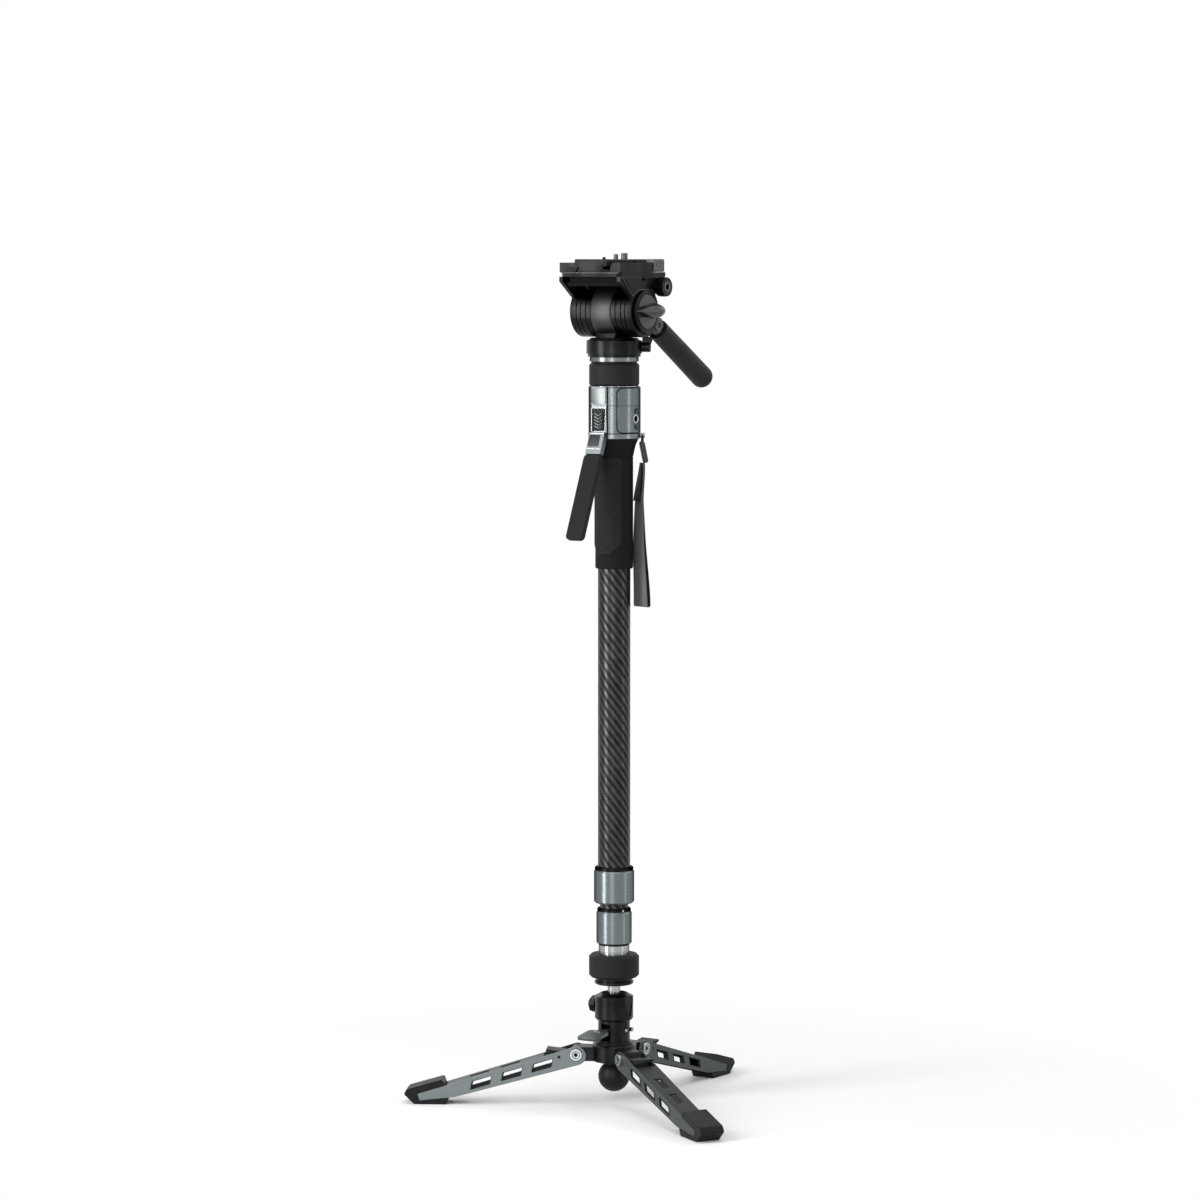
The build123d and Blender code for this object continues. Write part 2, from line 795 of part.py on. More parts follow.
# Ball stem: the steel ball, its pin and the spindle that the column turns on
with BuildPart() as ball_stem:
    with Locations((0, 0, ball_z)):
        Sphere(ball_r)
    with BuildSketch(Plane.XY.offset(ball_z)):
        Circle(stem_r)
    extrude(amount=stem_length)
    with BuildSketch(Plane.XY.offset(flange_z)):
        Circle(spindle_r)
    extrude(amount=spindle_length)
    chamfer(ball_stem.edges().group_by(Axis.Z)[-1], spindle_chamfer)
save(ball_stem.part, "ball_stem")

with BuildPart() as stem_flange:
    with BuildSketch(Plane.XZ):
        Polygon(
            (spindle_r, flange_z),
            (flange_r - flange_groove, flange_z),
            (flange_r, flange_z + flange_groove),
            (flange_r, flange_z + flange_height / 2),
            (flange_r - flange_groove, flange_z + flange_height / 2 + flange_groove),
            (flange_r - flange_groove, flange_top),
            (spindle_r, flange_top),
            align=None,
        )
    revolve(axis=Axis.Z)
save(stem_flange.part, "stem_flange")

# Base lock ring: turned by hand to free or lock the column's turn
with BuildPart() as base_lock_ring:
    with BuildSketch(Plane.XY.offset(base_ring_z)):
        Circle(base_ring_r)
    extrude(amount=base_ring_height)
    chamfer(base_lock_ring.edges(), base_ring_chamfer)
    with BuildSketch(Plane.XY.offset(base_ring_z)):
        Circle(fitting_r + body_gap)
    extrude(amount=base_ring_height, mode=Mode.SUBTRACT)
save(base_lock_ring.part, "base_lock_ring")

# End fitting: turns on the spindle and holds the lower tube
rim_z = fitting_top - fitting_rim_height
with BuildPart() as end_fitting:
    with BuildSketch(Plane.XZ):
        Polygon(
            (0, flange_top + body_gap),
            (fitting_r, flange_top + body_gap),
            (fitting_r, rim_z),
            (fitting_rim_r, rim_z),
            (fitting_rim_r, fitting_top),
            (0, fitting_top),
            align=None,
        )
    revolve(axis=Axis.Z)
    with BuildSketch(Plane.XY.offset(flange_z)):
        Circle(spindle_r + run_gap)
    extrude(amount=spindle_length + body_gap, mode=Mode.SUBTRACT)
    with BuildSketch(Plane.XY.offset(fitting_top - lower_tube_socket)):
        Circle(lower_tube_r + run_gap)
    extrude(amount=lower_tube_socket, mode=Mode.SUBTRACT)
save(end_fitting.part, "end_fitting")

# The three tubes, each inside the next
tubes = (
    ("lower_tube", lower_foot_z, lower_tube_top, lower_tube_r, lower_tube_wall),
    ("mid_tube", mid_foot_z, mid_tube_top, mid_tube_r, mid_tube_wall),
    ("main_tube", main_foot_z, main_tube_top, main_tube_r, main_tube_wall),
)
for name, foot_z, top_z, radius, wall in tubes:
    with BuildPart() as tube:
        with BuildSketch(Plane.XY.offset(foot_z)):
            Circle(radius)
            Circle(radius - wall, mode=Mode.SUBTRACT)
        extrude(amount=top_z - foot_z)
    save(tube.part, name)

# The two collars at the tubes' lower ends, and the clutch that each holds
collars = (
    ("mid", mid_collar_z, mid_collar_r, lower_tube_r, mid_tube_r),
    ("main", main_collar_z, main_collar_r, mid_tube_r, main_tube_r),
)
for name, foot_z, radius, inner_r, outer_r in collars:
    lip_z = foot_z + collar_lip
    top_z = foot_z + collar_height
    band_z = top_z - collar_band
    clutch_r = inner_r + tube_gap + clutch_wall
    with BuildPart() as collar:
        with BuildSketch(Plane.XZ):
            Polygon(
                (inner_r + tube_gap, foot_z),
                (radius - collar_chamfer, foot_z),
                (radius, foot_z + collar_chamfer),
                (radius, band_z - collar_chamfer),
                (radius - collar_groove, band_z - collar_groove),
                (radius - collar_groove, top_z - collar_groove),
                (radius - collar_chamfer, top_z),
                (outer_r + run_gap, top_z),
                (outer_r + run_gap, foot_z + tube_socket),
                (clutch_r + seat_gap, foot_z + tube_socket),
                (clutch_r + seat_gap, lip_z),
                (inner_r + tube_gap, lip_z),
                align=None,
            )
        revolve(axis=Axis.Z)
    save(collar.part, f"{name}_collar")

    with BuildPart() as clutch:
        with BuildSketch(Plane.XZ):
            Polygon(
                (inner_r + run_gap, lip_z + seat_gap),
                (clutch_r, lip_z + seat_gap),
                (clutch_r, lip_z + seat_gap + clutch_height / 2),
                (clutch_r - seat_gap, lip_z + seat_gap + clutch_height),
                (inner_r + run_gap, lip_z + seat_gap + clutch_height),
                align=None,
            )
        revolve(axis=Axis.Z)
    save(clutch.part, f"{name}_clutch")

# Foam grip with a raised panel in front, and the smooth collar that flares under the housing
grip_bore = main_tube_r + run_gap
panel_low = grip_top - grip_panel_height
with BuildPart() as grip_panel:
    with BuildSketch(Plane.XY.offset(panel_low)):
        Circle(grip_r + grip_panel_rise)
        Circle(main_tube_r + grip_panel_rise, mode=Mode.SUBTRACT)
    extrude(amount=grip_panel_height)
    with BuildSketch(Plane.XZ):
        Polygon(
            (-grip_panel_half, grip_top),
            (-grip_panel_half, panel_low + grip_panel_corner),
            (-grip_panel_half + grip_panel_corner, panel_low),
            (grip_panel_half - grip_panel_corner, panel_low),
            (grip_panel_half, panel_low + grip_panel_corner),
            (grip_panel_half, grip_top),
            align=None,
        )
    extrude(amount=grip_r + overrun, mode=Mode.INTERSECT)

with BuildPart() as grip:
    with BuildSketch(Plane.XY.offset(grip_z)):
        Circle(grip_r)
    extrude(amount=grip_height)
    chamfer(grip.edges().group_by(Axis.Z)[0], grip_edge)
    add(grip_panel.part)
    with BuildSketch(Plane.XY.offset(grip_z)):
        Circle(grip_bore)
    extrude(amount=grip_height, mode=Mode.SUBTRACT)
save(grip.part, "grip")

with BuildPart() as grip_collar:
    with BuildSketch(Plane.XZ):
        Polygon(
            (grip_bore, grip_top),
            (grip_r, grip_top),
            ((grip_r + grip_collar_r) / 2, grip_top + grip_collar_height * grip_collar_knee_share),
            (grip_collar_r, grip_collar_top - grip_edge),
            (grip_collar_r, grip_collar_top),
            (grip_bore, grip_collar_top),
            align=None,
        )
    revolve(axis=Axis.Z)
    with BuildSketch(Plane.XY.offset(grip_collar_top - lever_slot_drop)):
        with Locations((0, -strap_ring_r)):
            Rectangle(lever_arm_width + 2 * body_gap, strap_ring_r)
    extrude(amount=lever_slot_drop, mode=Mode.SUBTRACT)
save(grip_collar.part, "grip_collar")

# Strap ring under the housing: it holds the lever's axle, has a slot for the lever's arm, and an eye
lever_pivot_z = strap_ring_z + strap_ring_height / 2
with BuildPart() as strap_ring:
    with BuildSketch(Plane.XY.offset(strap_ring_z)):
        Circle(strap_ring_r)
        with PolarLocations(strap_ring_r, 1, start_angle=strap_azimuth):
            Rectangle(2 * strap_lug_reach, strap_lug_width)
        Circle(strap_ring_bore, mode=Mode.SUBTRACT)
    extrude(amount=strap_ring_height)
    with BuildSketch(upright_plane(strap_azimuth)):
        with Locations((strap_ring_r + strap_lug_reach / 2, strap_ring_z + strap_ring_height / 2)):
            Circle(strap_eye_r)
    extrude(amount=strap_lug_width, both=True, mode=Mode.SUBTRACT)
    with BuildSketch(Plane.XY.offset(strap_ring_z)):
        with Locations((0, -strap_ring_r)):
            Rectangle(lever_arm_width + 2 * body_gap, 2 * (strap_ring_r - strap_ring_bore / 2))
    extrude(amount=strap_ring_height, mode=Mode.SUBTRACT)
    with BuildSketch(Plane.YZ):
        with Locations((lever_pivot_y, lever_pivot_z)):
            Circle(lever_axle_r + run_gap)
    extrude(amount=lever_axle_half + body_gap, both=True, mode=Mode.SUBTRACT)
save(strap_ring.part, "strap_ring")

# Raised panel on the right side, across both shells
panel_bottom = shell_z + panel_margin
panel_height = shell_top - panel_margin - panel_bottom
with BuildPart() as side_panel:
    with BuildSketch(Plane.XY.offset(panel_bottom)):
        Circle(panel_r)
        Circle(shell_r - shell_wall / 2, mode=Mode.SUBTRACT)
    extrude(amount=panel_height)
    with BuildSketch(Plane.YZ):
        with Locations((0, panel_bottom + panel_height / 2)):
            RectangleRounded(2 * panel_half, panel_height, panel_corner)
    extrude(amount=panel_r, mode=Mode.INTERSECT)

# Lower shell: the button's window in front, and the accessory thread on the right
button_z = shell_z + button_bottom
capsule_mid_z = shell_z + capsule_z
split_z = shell_z + lower_shell_height
lever_top_z = shell_z + lever_top_rise
bore_r = shell_r - shell_wall
with BuildPart() as housing_lower:
    with BuildSketch(Plane.XY.offset(shell_z)):
        Circle(shell_r)
    extrude(amount=lower_shell_height)
    with BuildSketch(Plane.XY.offset(lever_top_z + body_gap)):
        with Locations((0, -boss_reach / 2)):
            Rectangle(boss_width, boss_reach)
    extrude(amount=split_z - lever_top_z - body_gap)
    add(side_panel.part)
    split(bisect_by=Plane.XY.offset(split_z), keep=Keep.BOTTOM)
    with BuildSketch(Plane.XY.offset(shell_z + shell_floor)):
        Circle(bore_r)
    extrude(amount=lower_shell_height, mode=Mode.SUBTRACT)
    with BuildSketch(Plane.XY.offset(shell_z)):
        Circle(rod_r + body_gap)
    extrude(amount=lower_shell_height, mode=Mode.SUBTRACT)
    with BuildSketch(Plane.XZ.offset(boss_reach - window_depth)):
        with Locations((0, button_z + button_height / 2)):
            Rectangle(button_width + 2 * body_gap, button_height + 2 * body_gap)
    extrude(amount=window_depth + overrun, mode=Mode.SUBTRACT)
    with BuildSketch(Plane.YZ.offset(panel_r - capsule_depth)):
        with Locations((0, capsule_mid_z)):
            SlotOverall(capsule_height, capsule_width, rotation=90)
    extrude(amount=overrun, mode=Mode.SUBTRACT)
    with BuildSketch(Plane.YZ.offset(panel_r - accessory_hole_depth)):
        with Locations((0, capsule_mid_z)):
            Circle(accessory_hole_r + shell_wall / 2)
    extrude(amount=accessory_hole_depth - capsule_depth)
    with BuildSketch(Plane.YZ.offset(panel_r - accessory_hole_depth)):
        with Locations((0, capsule_mid_z)):
            Circle(accessory_hole_r)
    extrude(amount=accessory_hole_depth, mode=Mode.SUBTRACT)
    with BuildSketch(Plane.YZ.offset(panel_r - capsule_depth)):
        with GridLocations(0, locating_hole_spacing, 1, 2):
            with Locations((0, capsule_mid_z)):
                Circle(locating_hole_r)
    extrude(amount=-locating_hole_depth, mode=Mode.SUBTRACT)
save(housing_lower.part, "housing_lower")

with BuildPart() as housing_upper:
    with BuildSketch(Plane.XY.offset(upper_shell_z)):
        Circle(shell_r)
        with Locations((0, -boss_reach / 2)):
            Rectangle(boss_width, boss_reach)
    extrude(amount=upper_shell_height)
    add(side_panel.part)
    split(bisect_by=Plane.XY.offset(upper_shell_z), keep=Keep.TOP)
    with BuildSketch(Plane.XY.offset(upper_shell_z)):
        Circle(bore_r)
    extrude(amount=upper_shell_height - shell_floor, mode=Mode.SUBTRACT)
    with BuildSketch(Plane.XY.offset(upper_shell_z)):
        Circle(rod_r + body_gap)
    extrude(amount=upper_shell_height, mode=Mode.SUBTRACT)
save(housing_upper.part, "housing_upper")

# Thumb button in the window
with BuildPart() as thumb_button:
    with BuildSketch(Plane.XZ.offset(boss_reach + button_stand - button_depth)):
        with Locations((0, button_z + button_height / 2)):
            Rectangle(button_width, button_height)
    extrude(amount=button_depth)
    chamfer(thumb_button.faces().sort_by(Axis.Y)[0].edges(), button_chamfer)
save(thumb_button.part, "thumb_button")

# Squeeze lever: a metal root with its arm and axle, and the moulded paddle
slant = math.radians(lever_slant)
lever_plane = Plane(
    origin=(0, -lever_front, lever_top_z),
    x_dir=(1, 0, 0),
    z_dir=(0, -math.cos(slant), math.sin(slant)),
)
arm_rise = lever_arm_height / 2
arm_top = lever_pivot_z + arm_rise
arm_bottom = lever_pivot_z - arm_rise
root_back_y = -strap_ring_r - 2 * body_gap
root_end_y = -lever_front - lever_root_length * math.sin(slant)
root_end_z = lever_top_z - lever_root_length * math.cos(slant)
with BuildPart() as lever_root:
    with BuildSketch(Plane.YZ):
        Polygon(
            (root_back_y, lever_top_z),
            (-lever_front, lever_top_z),
            (root_end_y, root_end_z),
            (root_end_y + lever_thickness, root_end_z - arm_rise),
            (root_back_y, arm_bottom),
            align=None,
        )
    extrude(amount=lever_width / 2, both=True)
    with BuildSketch(Plane.YZ):
        Polygon(
            (root_back_y - arm_rise, arm_bottom),
            (lever_pivot_y, arm_bottom),
            (lever_pivot_y, arm_top),
            (root_back_y - arm_rise, arm_top),
            align=None,
        )
        with Locations((lever_pivot_y, lever_pivot_z)):
            Circle(arm_rise)
    extrude(amount=lever_arm_width / 2, both=True)
    with BuildSketch(Plane.YZ):
        with Locations((lever_pivot_y, lever_pivot_z)):
            Circle(lever_axle_r)
    extrude(amount=lever_axle_half, both=True)
save(lever_root.part, "lever_root")

paddle_length = lever_paddle_end - lever_root_length
joint_drop = overrun * arm_rise / lever_thickness
with BuildPart() as lever_paddle:
    with BuildSketch(lever_plane):
        with Locations((0, -lever_root_length - paddle_length / 2)):
            RectangleRounded(lever_paddle_width, paddle_length, lever_paddle_corner)
    extrude(amount=-lever_thickness)
    chamfer(lever_paddle.faces().sort_by(Axis.Y)[0].edges(), lever_paddle_edge)
    with BuildSketch(Plane.YZ):
        Polygon(
            (root_end_y - overrun, root_end_z - body_gap + joint_drop),
            (root_end_y + lever_thickness + overrun, root_end_z - body_gap - arm_rise - joint_drop),
            (root_end_y + lever_thickness + overrun, lever_top_z),
            (root_end_y - overrun, lever_top_z),
            align=None,
        )
    extrude(amount=lever_paddle_width, both=True, mode=Mode.SUBTRACT)
save(lever_paddle.part, "lever_paddle")

# Release rod down the middle of the tubes
rod_top = lever_pivot_z + lever_arm_height
with BuildPart() as release_rod:
    with BuildSketch(Plane.XY.offset(rod_top)):
        Circle(rod_r)
    extrude(amount=-(rod_top - mid_foot_z - rod_foot_rise))
save(release_rod.part, "release_rod")

# Head lock ring around the mount's shaft
with BuildPart() as head_lock_ring:
    with BuildSketch(Plane.XY.offset(head_ring_z)):
        Circle(head_ring_r)
    extrude(amount=head_ring_height)
    chamfer(head_lock_ring.edges(), head_ring_chamfer)
    with BuildSketch(Plane.XY.offset(head_ring_z)):
        Circle(head_shaft_r + body_gap)
    extrude(amount=head_ring_height, mode=Mode.SUBTRACT)
save(head_lock_ring.part, "head_lock_ring")

with BuildPart() as head_mount:
    with BuildSketch(Plane.XY.offset(shell_top)):
        Circle(head_shaft_r)
    extrude(amount=mount_flange_z - shell_top)
    with BuildSketch(Plane.XY.offset(mount_flange_z)):
        Circle(mount_flange_r)
    extrude(amount=mount_flange_height)
    chamfer(head_mount.edges().group_by(Axis.Z)[-1], ring_air / 2)
    with BuildSketch(Plane.XY.offset(pan_z)):
        Circle(head_stud_r)
    extrude(amount=head_stud_length)
save(head_mount.part, "head_mount")

# Pan base: turns on the mount's stud and carries the head
lock_out = outward(pan_lock_azimuth)
pan_lock_z = pan_top - pan_lock_drop
lock_side = Vector(-lock_out.Y, lock_out.X, 0)
pan_lock_plane = Plane(origin=lock_out * pan_r + Vector(0, 0, pan_lock_z), x_dir=lock_side, z_dir=lock_out)
wing_plane = Plane(origin=pan_lock_plane.origin + lock_out * body_gap, x_dir=lock_out, z_dir=-lock_side)
with BuildPart() as pan_base:
    with BuildSketch(Plane.XZ):
        Polygon(
            (0, pan_z + run_gap),
            (pan_step_r, pan_z + run_gap),
            (pan_step_r, pan_z + pan_step_height),
            (pan_r, pan_z + pan_step_height),
            (pan_r, pan_top),
            (pan_cone_r, pan_top + pan_cone_height),
            (0, pan_top + pan_cone_height),
            align=None,
        )
    revolve(axis=Axis.Z)
    with BuildSketch(Plane.XY.offset(pan_z)):
        Circle(head_stud_r + run_gap)
    extrude(amount=head_stud_length + body_gap, mode=Mode.SUBTRACT)
    with BuildSketch(pan_lock_plane):
        Circle(knob_stud_r + run_gap)
    extrude(amount=-pan_r / 2, mode=Mode.SUBTRACT)
save(pan_base.part, "pan_base")

with BuildPart() as pan_lock_knob:
    with BuildSketch(pan_lock_plane):
        Circle(knob_stud_r)
    extrude(amount=-(pan_r / 2 - pan_step_height))
    with BuildSketch(pan_lock_plane):
        Circle(knob_stud_r)
    extrude(amount=pan_lock_hub_length)
    with BuildSketch(pan_lock_plane.offset(body_gap)):
        Circle(pan_lock_hub_r)
    extrude(amount=pan_lock_hub_length)
    with BuildSketch(wing_plane):
        Polygon(*spread(pan_lock_wing_shares, pan_lock_hub_length, pan_lock_wing_height), align=None)
    extrude(amount=pan_lock_wing_thickness / 2, both=True)
save(pan_lock_knob.part, "pan_lock_knob")

# Tilt housing: the fixed middle of the head between the two drums
with BuildPart() as tilt_housing:
    with BuildSketch(Plane.YZ):
        with Locations((0, tilt_z)):
            Circle(housing_arch_r)
        Polygon(
            (-housing_front, tilt_z),
            (-housing_front, tilt_z - housing_foot_drop),
            (-neck_half_y, pan_top + pan_cone_height),
            (neck_half_y, pan_top + pan_cone_height),
            (housing_front, tilt_z - housing_foot_drop),
            (housing_front, tilt_z),
            align=None,
        )
    extrude(amount=housing_half, both=True)
    with BuildSketch(Plane.XY.offset(pan_top)):
        Rectangle(2 * (housing_half + overrun), 2 * (housing_front + overrun))
    extrude(amount=pan_cone_height, mode=Mode.SUBTRACT)
    with BuildSketch(Plane.YZ):
        with Locations((0, tilt_z)):
            Circle(tilt_axle_r + run_gap)
    extrude(amount=housing_half, both=True, mode=Mode.SUBTRACT)
save(tilt_housing.part, "tilt_housing")

# Tilt axle and the two drums that turn on it with the yoke. The right drum has the handle's arm
handle_plane = Plane(
    origin=(handle_x, handle_pivot_y, handle_pivot_z),
    x_dir=(1, 0, 0),
    z_dir=(0, math.cos(math.radians(handle_slant)), -math.sin(math.radians(handle_slant))),
)
socket_start_x = handle_x - socket_width / 2
arm_start_x = socket_start_x - body_gap - arm_width
cheek_outer = drum_end + cheek_thickness
with BuildPart() as tilt_axle:
    with BuildSketch(Plane.YZ):
        with Locations((0, tilt_z)):
            Circle(tilt_axle_r)
    extrude(amount=drum_end, both=True)
save(tilt_axle.part, "tilt_axle")

drum_width = drum_end - drum_start
for name, flip in (("right_drum", 1), ("left_drum", -1)):
    with BuildPart() as drum:
        with BuildSketch(Plane.YZ.offset(flip * drum_start)):
            with Locations((0, tilt_z)):
                Circle(drum_r)
        extrude(amount=flip * drum_width)
        for share in drum_groove_shares:
            with BuildSketch(Plane.YZ.offset(flip * (drum_start + drum_width * share))):
                with Locations((0, tilt_z)):
                    Circle(drum_r + overrun)
                    Circle(drum_groove_r, mode=Mode.SUBTRACT)
            extrude(amount=flip * drum_groove_width, mode=Mode.SUBTRACT)
        if flip < 0:
            with BuildSketch(Plane.YZ.offset(flip * drum_end)):
                with Locations((0, tilt_z)):
                    Circle(drum_cap_r)
            extrude(amount=flip * drum_cap_height)
        else:
            with BuildSketch(Plane.YZ.offset(arm_start_x)):
                with Locations((handle_pivot_y, handle_pivot_z)):
                    Circle(socket_r)
                Polygon(
                    (drum_r * arm_root_share, tilt_z),
                    (handle_pivot_y, handle_pivot_z + socket_r),
                    (handle_pivot_y, handle_pivot_z - socket_r),
                    (drum_r * arm_root_share, handle_pivot_z - socket_r),
                    align=None,
                )
            extrude(amount=arm_width)
            with BuildSketch(Plane.YZ.offset(arm_start_x)):
                with Locations((handle_pivot_y, handle_pivot_z)):
                    Circle(socket_pin_r)
            extrude(amount=arm_width + body_gap + socket_width)
        with BuildSketch(Plane.YZ):
            with Locations((0, tilt_z)):
                Circle(tilt_axle_r + run_gap)
        extrude(amount=flip * drum_end, mode=Mode.SUBTRACT)
    save(drum.part, name)

# Yoke: the camera bed, its rails and the two cheeks that hold the drums
lip_z = dovetail_z + rail_height - body_gap
with BuildPart() as tilt_yoke:
    with BuildSketch(Plane.XY.offset(bed_z)):
        with Locations((0, (bed_back - bed_front) / 2)):
            Rectangle(2 * bed_half, bed_front + bed_back)
    extrude(amount=bed_thickness)
    chamfer(tilt_yoke.edges().filter_by(Axis.Z), side_rail_width / 2)
    for flip in (1, -1):
        with BuildSketch(Plane.YZ.offset(flip * drum_end)):
            with Locations((0, tilt_z)):
                Circle(drum_r)
                Circle(cheek_ring_bore, mode=Mode.SUBTRACT)
            Polygon(*spread(cheek_front_shares, bed_front, bed_bottom_rise, 0, tilt_z), align=None)
            Polygon(*spread(cheek_back_shares, bed_back, bed_bottom_rise, 0, tilt_z), align=None)
            with Locations((0, tilt_z)):
                Circle(cheek_ring_bore, mode=Mode.SUBTRACT)
        extrude(amount=flip * cheek_thickness)
    with BuildSketch(Plane.XZ.offset(-bed_back)):
        Polygon(
            (-bed_half, bed_top),
            (-bed_half, bed_top + side_rail_top),
            (-bed_half + side_rail_width, bed_top + side_rail_top),
            (-jaw_back_x, lip_z),
            (-dovetail_top_half - body_gap, lip_z),
            (-dovetail_bottom_half - body_gap, bed_top),
            align=None,
        )
    extrude(amount=bed_front + bed_back)
    with BuildSketch(Plane.XZ.offset(bed_front - front_rail_length)):
        Polygon(
            (bed_half, bed_top),
            (bed_half, bed_top + side_rail_top),
            (bed_half - side_rail_width, bed_top + side_rail_top),
            (jaw_back_x + jaw_travel + body_gap, lip_z),
            (jaw_back_x + jaw_travel + body_gap, bed_top),
            align=None,
        )
    extrude(amount=front_rail_length)
    with BuildSketch(Plane.YZ.offset(boss_start)):
        with Locations((boss_y, bed_z - boss_z_drop)):
            Circle(boss_r)
        with Locations((boss_y, bed_z - boss_z_drop / 2)):
            Rectangle(2 * boss_r, boss_z_drop)
    extrude(amount=bed_half - boss_start)
    with BuildSketch(Plane.YZ.offset(boss_start)):
        with Locations((boss_y, bed_z - boss_z_drop)):
            Circle(knob_stud_r + run_gap)
    extrude(amount=bed_half, mode=Mode.SUBTRACT)
save(tilt_yoke.part, "tilt_yoke")

# Camera plate with its dovetail, the camera screw and the sprung locating pin
with BuildPart() as camera_plate:
    with BuildSketch(Plane.XZ.offset(-plate_back)):
        Polygon(
            (-dovetail_bottom_half, dovetail_z),
            (dovetail_bottom_half, dovetail_z),
            (dovetail_top_half, plate_z),
            (plate_half, plate_z),
            (plate_half, plate_top - plate_edge),
            (plate_half - plate_edge, plate_top),
            (-plate_half + plate_edge, plate_top),
            (-plate_half, plate_top - plate_edge),
            (-plate_half, plate_z),
            (-dovetail_top_half, plate_z),
            align=None,
        )
    extrude(amount=plate_front + plate_back)
    with BuildSketch(Plane.XY.offset(dovetail_z)):
        with Locations((0, screw_y)):
            Circle(screw_head_r + seat_gap)
    extrude(amount=screw_head_height + body_gap, mode=Mode.SUBTRACT)
    with BuildSketch(Plane.XY.offset(dovetail_z)):
        with Locations((0, screw_y)):
            Circle(screw_neck_r + seat_gap)
        with Locations((0, pin_y)):
            Circle(pin_r + run_gap)
    extrude(amount=rail_height + plate_thickness, mode=Mode.SUBTRACT)
    with BuildSketch(Plane.XY.offset(dovetail_z)):
        with Locations((0, pin_y)):
            Circle(pin_flange_r + run_gap)
    extrude(amount=pin_travel + pin_flange_height + body_gap, mode=Mode.SUBTRACT)
    with BuildSketch(Plane.YZ.offset(plate_half)):
        with Locations((side_hole_y, plate_z + plate_thickness / 2)):
            Circle(side_hole_r)
    extrude(amount=-side_hole_depth, mode=Mode.SUBTRACT)
    with BuildSketch(Plane.XY.offset(plate_top)):
        with Locations((0, bump_y)):
            Circle(bump_r)
    extrude(amount=bump_stand)
save(camera_plate.part, "camera_plate")

with BuildPart() as camera_screw:
    with BuildSketch(Plane.XY.offset(dovetail_z + body_gap / 2)):
        with Locations((0, screw_y)):
            Circle(screw_head_r)
    extrude(amount=screw_head_height)
    with BuildSketch(Plane.XY.offset(dovetail_z + body_gap / 2)):
        with Locations((0, screw_y)):
            Circle(screw_neck_r)
    extrude(amount=plate_top - dovetail_z - body_gap / 2)
    with BuildSketch(Plane.XY.offset(plate_top)):
        with Locations((0, screw_y)):
            Circle(screw_r)
    extrude(amount=screw_stand)
    chamfer(camera_screw.edges().group_by(Axis.Z)[-1], plate_edge / 2)
save(camera_screw.part, "camera_screw")

with BuildPart() as locating_pin:
    with BuildSketch(Plane.XY.offset(dovetail_z + pin_travel + seat_gap)):
        with Locations((0, pin_y)):
            Circle(pin_flange_r)
    extrude(amount=pin_flange_height)
    with BuildSketch(Plane.XY.offset(dovetail_z + pin_travel + seat_gap)):
        with Locations((0, pin_y)):
            Circle(pin_r)
    extrude(amount=plate_top + pin_stand - dovetail_z - pin_travel - seat_gap)
    chamfer(locating_pin.edges().group_by(Axis.Z)[-1], plate_edge / 2)
save(locating_pin.part, "locating_pin")

# Clamp jaw along the plate's right edge, and the knob that draws it in
with BuildPart() as clamp_jaw:
    with BuildSketch(Plane.XZ.offset(-jaw_end)):
        Polygon(
            (dovetail_bottom_half + body_gap, bed_top + body_gap / 2),
            (dovetail_top_half + body_gap, lip_z),
            (jaw_back_x, lip_z),
            (jaw_back_x, bed_top + body_gap / 2),
            align=None,
        )
    extrude(amount=jaw_end - jaw_start)
save(clamp_jaw.part, "clamp_jaw")

knob_z = bed_z - boss_z_drop
knob_start = cheek_outer + body_gap
with BuildPart() as plate_clamp_knob:
    with BuildSketch(Plane.YZ.offset(knob_start)):
        with Locations((boss_y, knob_z)):
            Circle(knob_r)
    extrude(amount=knob_width)
    with BuildSketch(Plane.YZ.offset(knob_start)):
        with Locations((boss_y, knob_z)):
            with PolarLocations(knob_r + knob_tooth / 2, knob_teeth):
                Circle(knob_tooth)
    extrude(amount=knob_width, mode=Mode.SUBTRACT)
    with BuildSketch(Plane.YZ.offset(knob_start + knob_width)):
        with Locations((boss_y, knob_z)):
            RegularPolygon(knob_socket_r, 6)
    extrude(amount=-knob_socket_depth, mode=Mode.SUBTRACT)
    with BuildSketch(Plane.YZ.offset(boss_start)):
        with Locations((boss_y, knob_z)):
            Circle(knob_stud_r)
    extrude(amount=knob_start - boss_start)
save(plate_clamp_knob.part, "plate_clamp_knob")

# Plate release: a ribbed button beside the jaw
with BuildPart() as plate_release:
    with BuildSketch(Plane.YZ.offset(release_start_x)):
        with Locations((release_y + release_length / 2, bed_top + body_gap + release_height / 2)):
            Rectangle(release_length, release_height)
    extrude(amount=release_reach)
    chamfer(plate_release.faces().sort_by(Axis.X)[-1].edges(), release_chamfer)
save(plate_release.part, "plate_release")

# Tilt knob: a disc in the right cheek with a scoop and a lobe to turn it by
face_x = drum_end + body_gap + cheek_thickness + tilt_knob_disc
scoop_x = face_x - tilt_scoop_depth
lobe_ridge = [(scoop_x + lobe_rise * up, lobe_length * along) for along, up in ridge_shares]
lobe_lower = [(lobe_length * along, -lobe_height * up) for along, up in reversed(lobe_outline_shares[1:-1])]
with BuildPart() as knob_lobe:
    with BuildSketch(Plane.XY.offset(tilt_z)):
        Polygon(*lobe_ridge, align=None)
    extrude(amount=lobe_height, both=True)
    with BuildSketch(Plane.YZ.offset(scoop_x)):
        with Locations((0, tilt_z)):
            Polygon(*spread(lobe_outline_shares, lobe_length, lobe_height), *lobe_lower, align=None)
    extrude(amount=lobe_rise * 2, mode=Mode.INTERSECT)

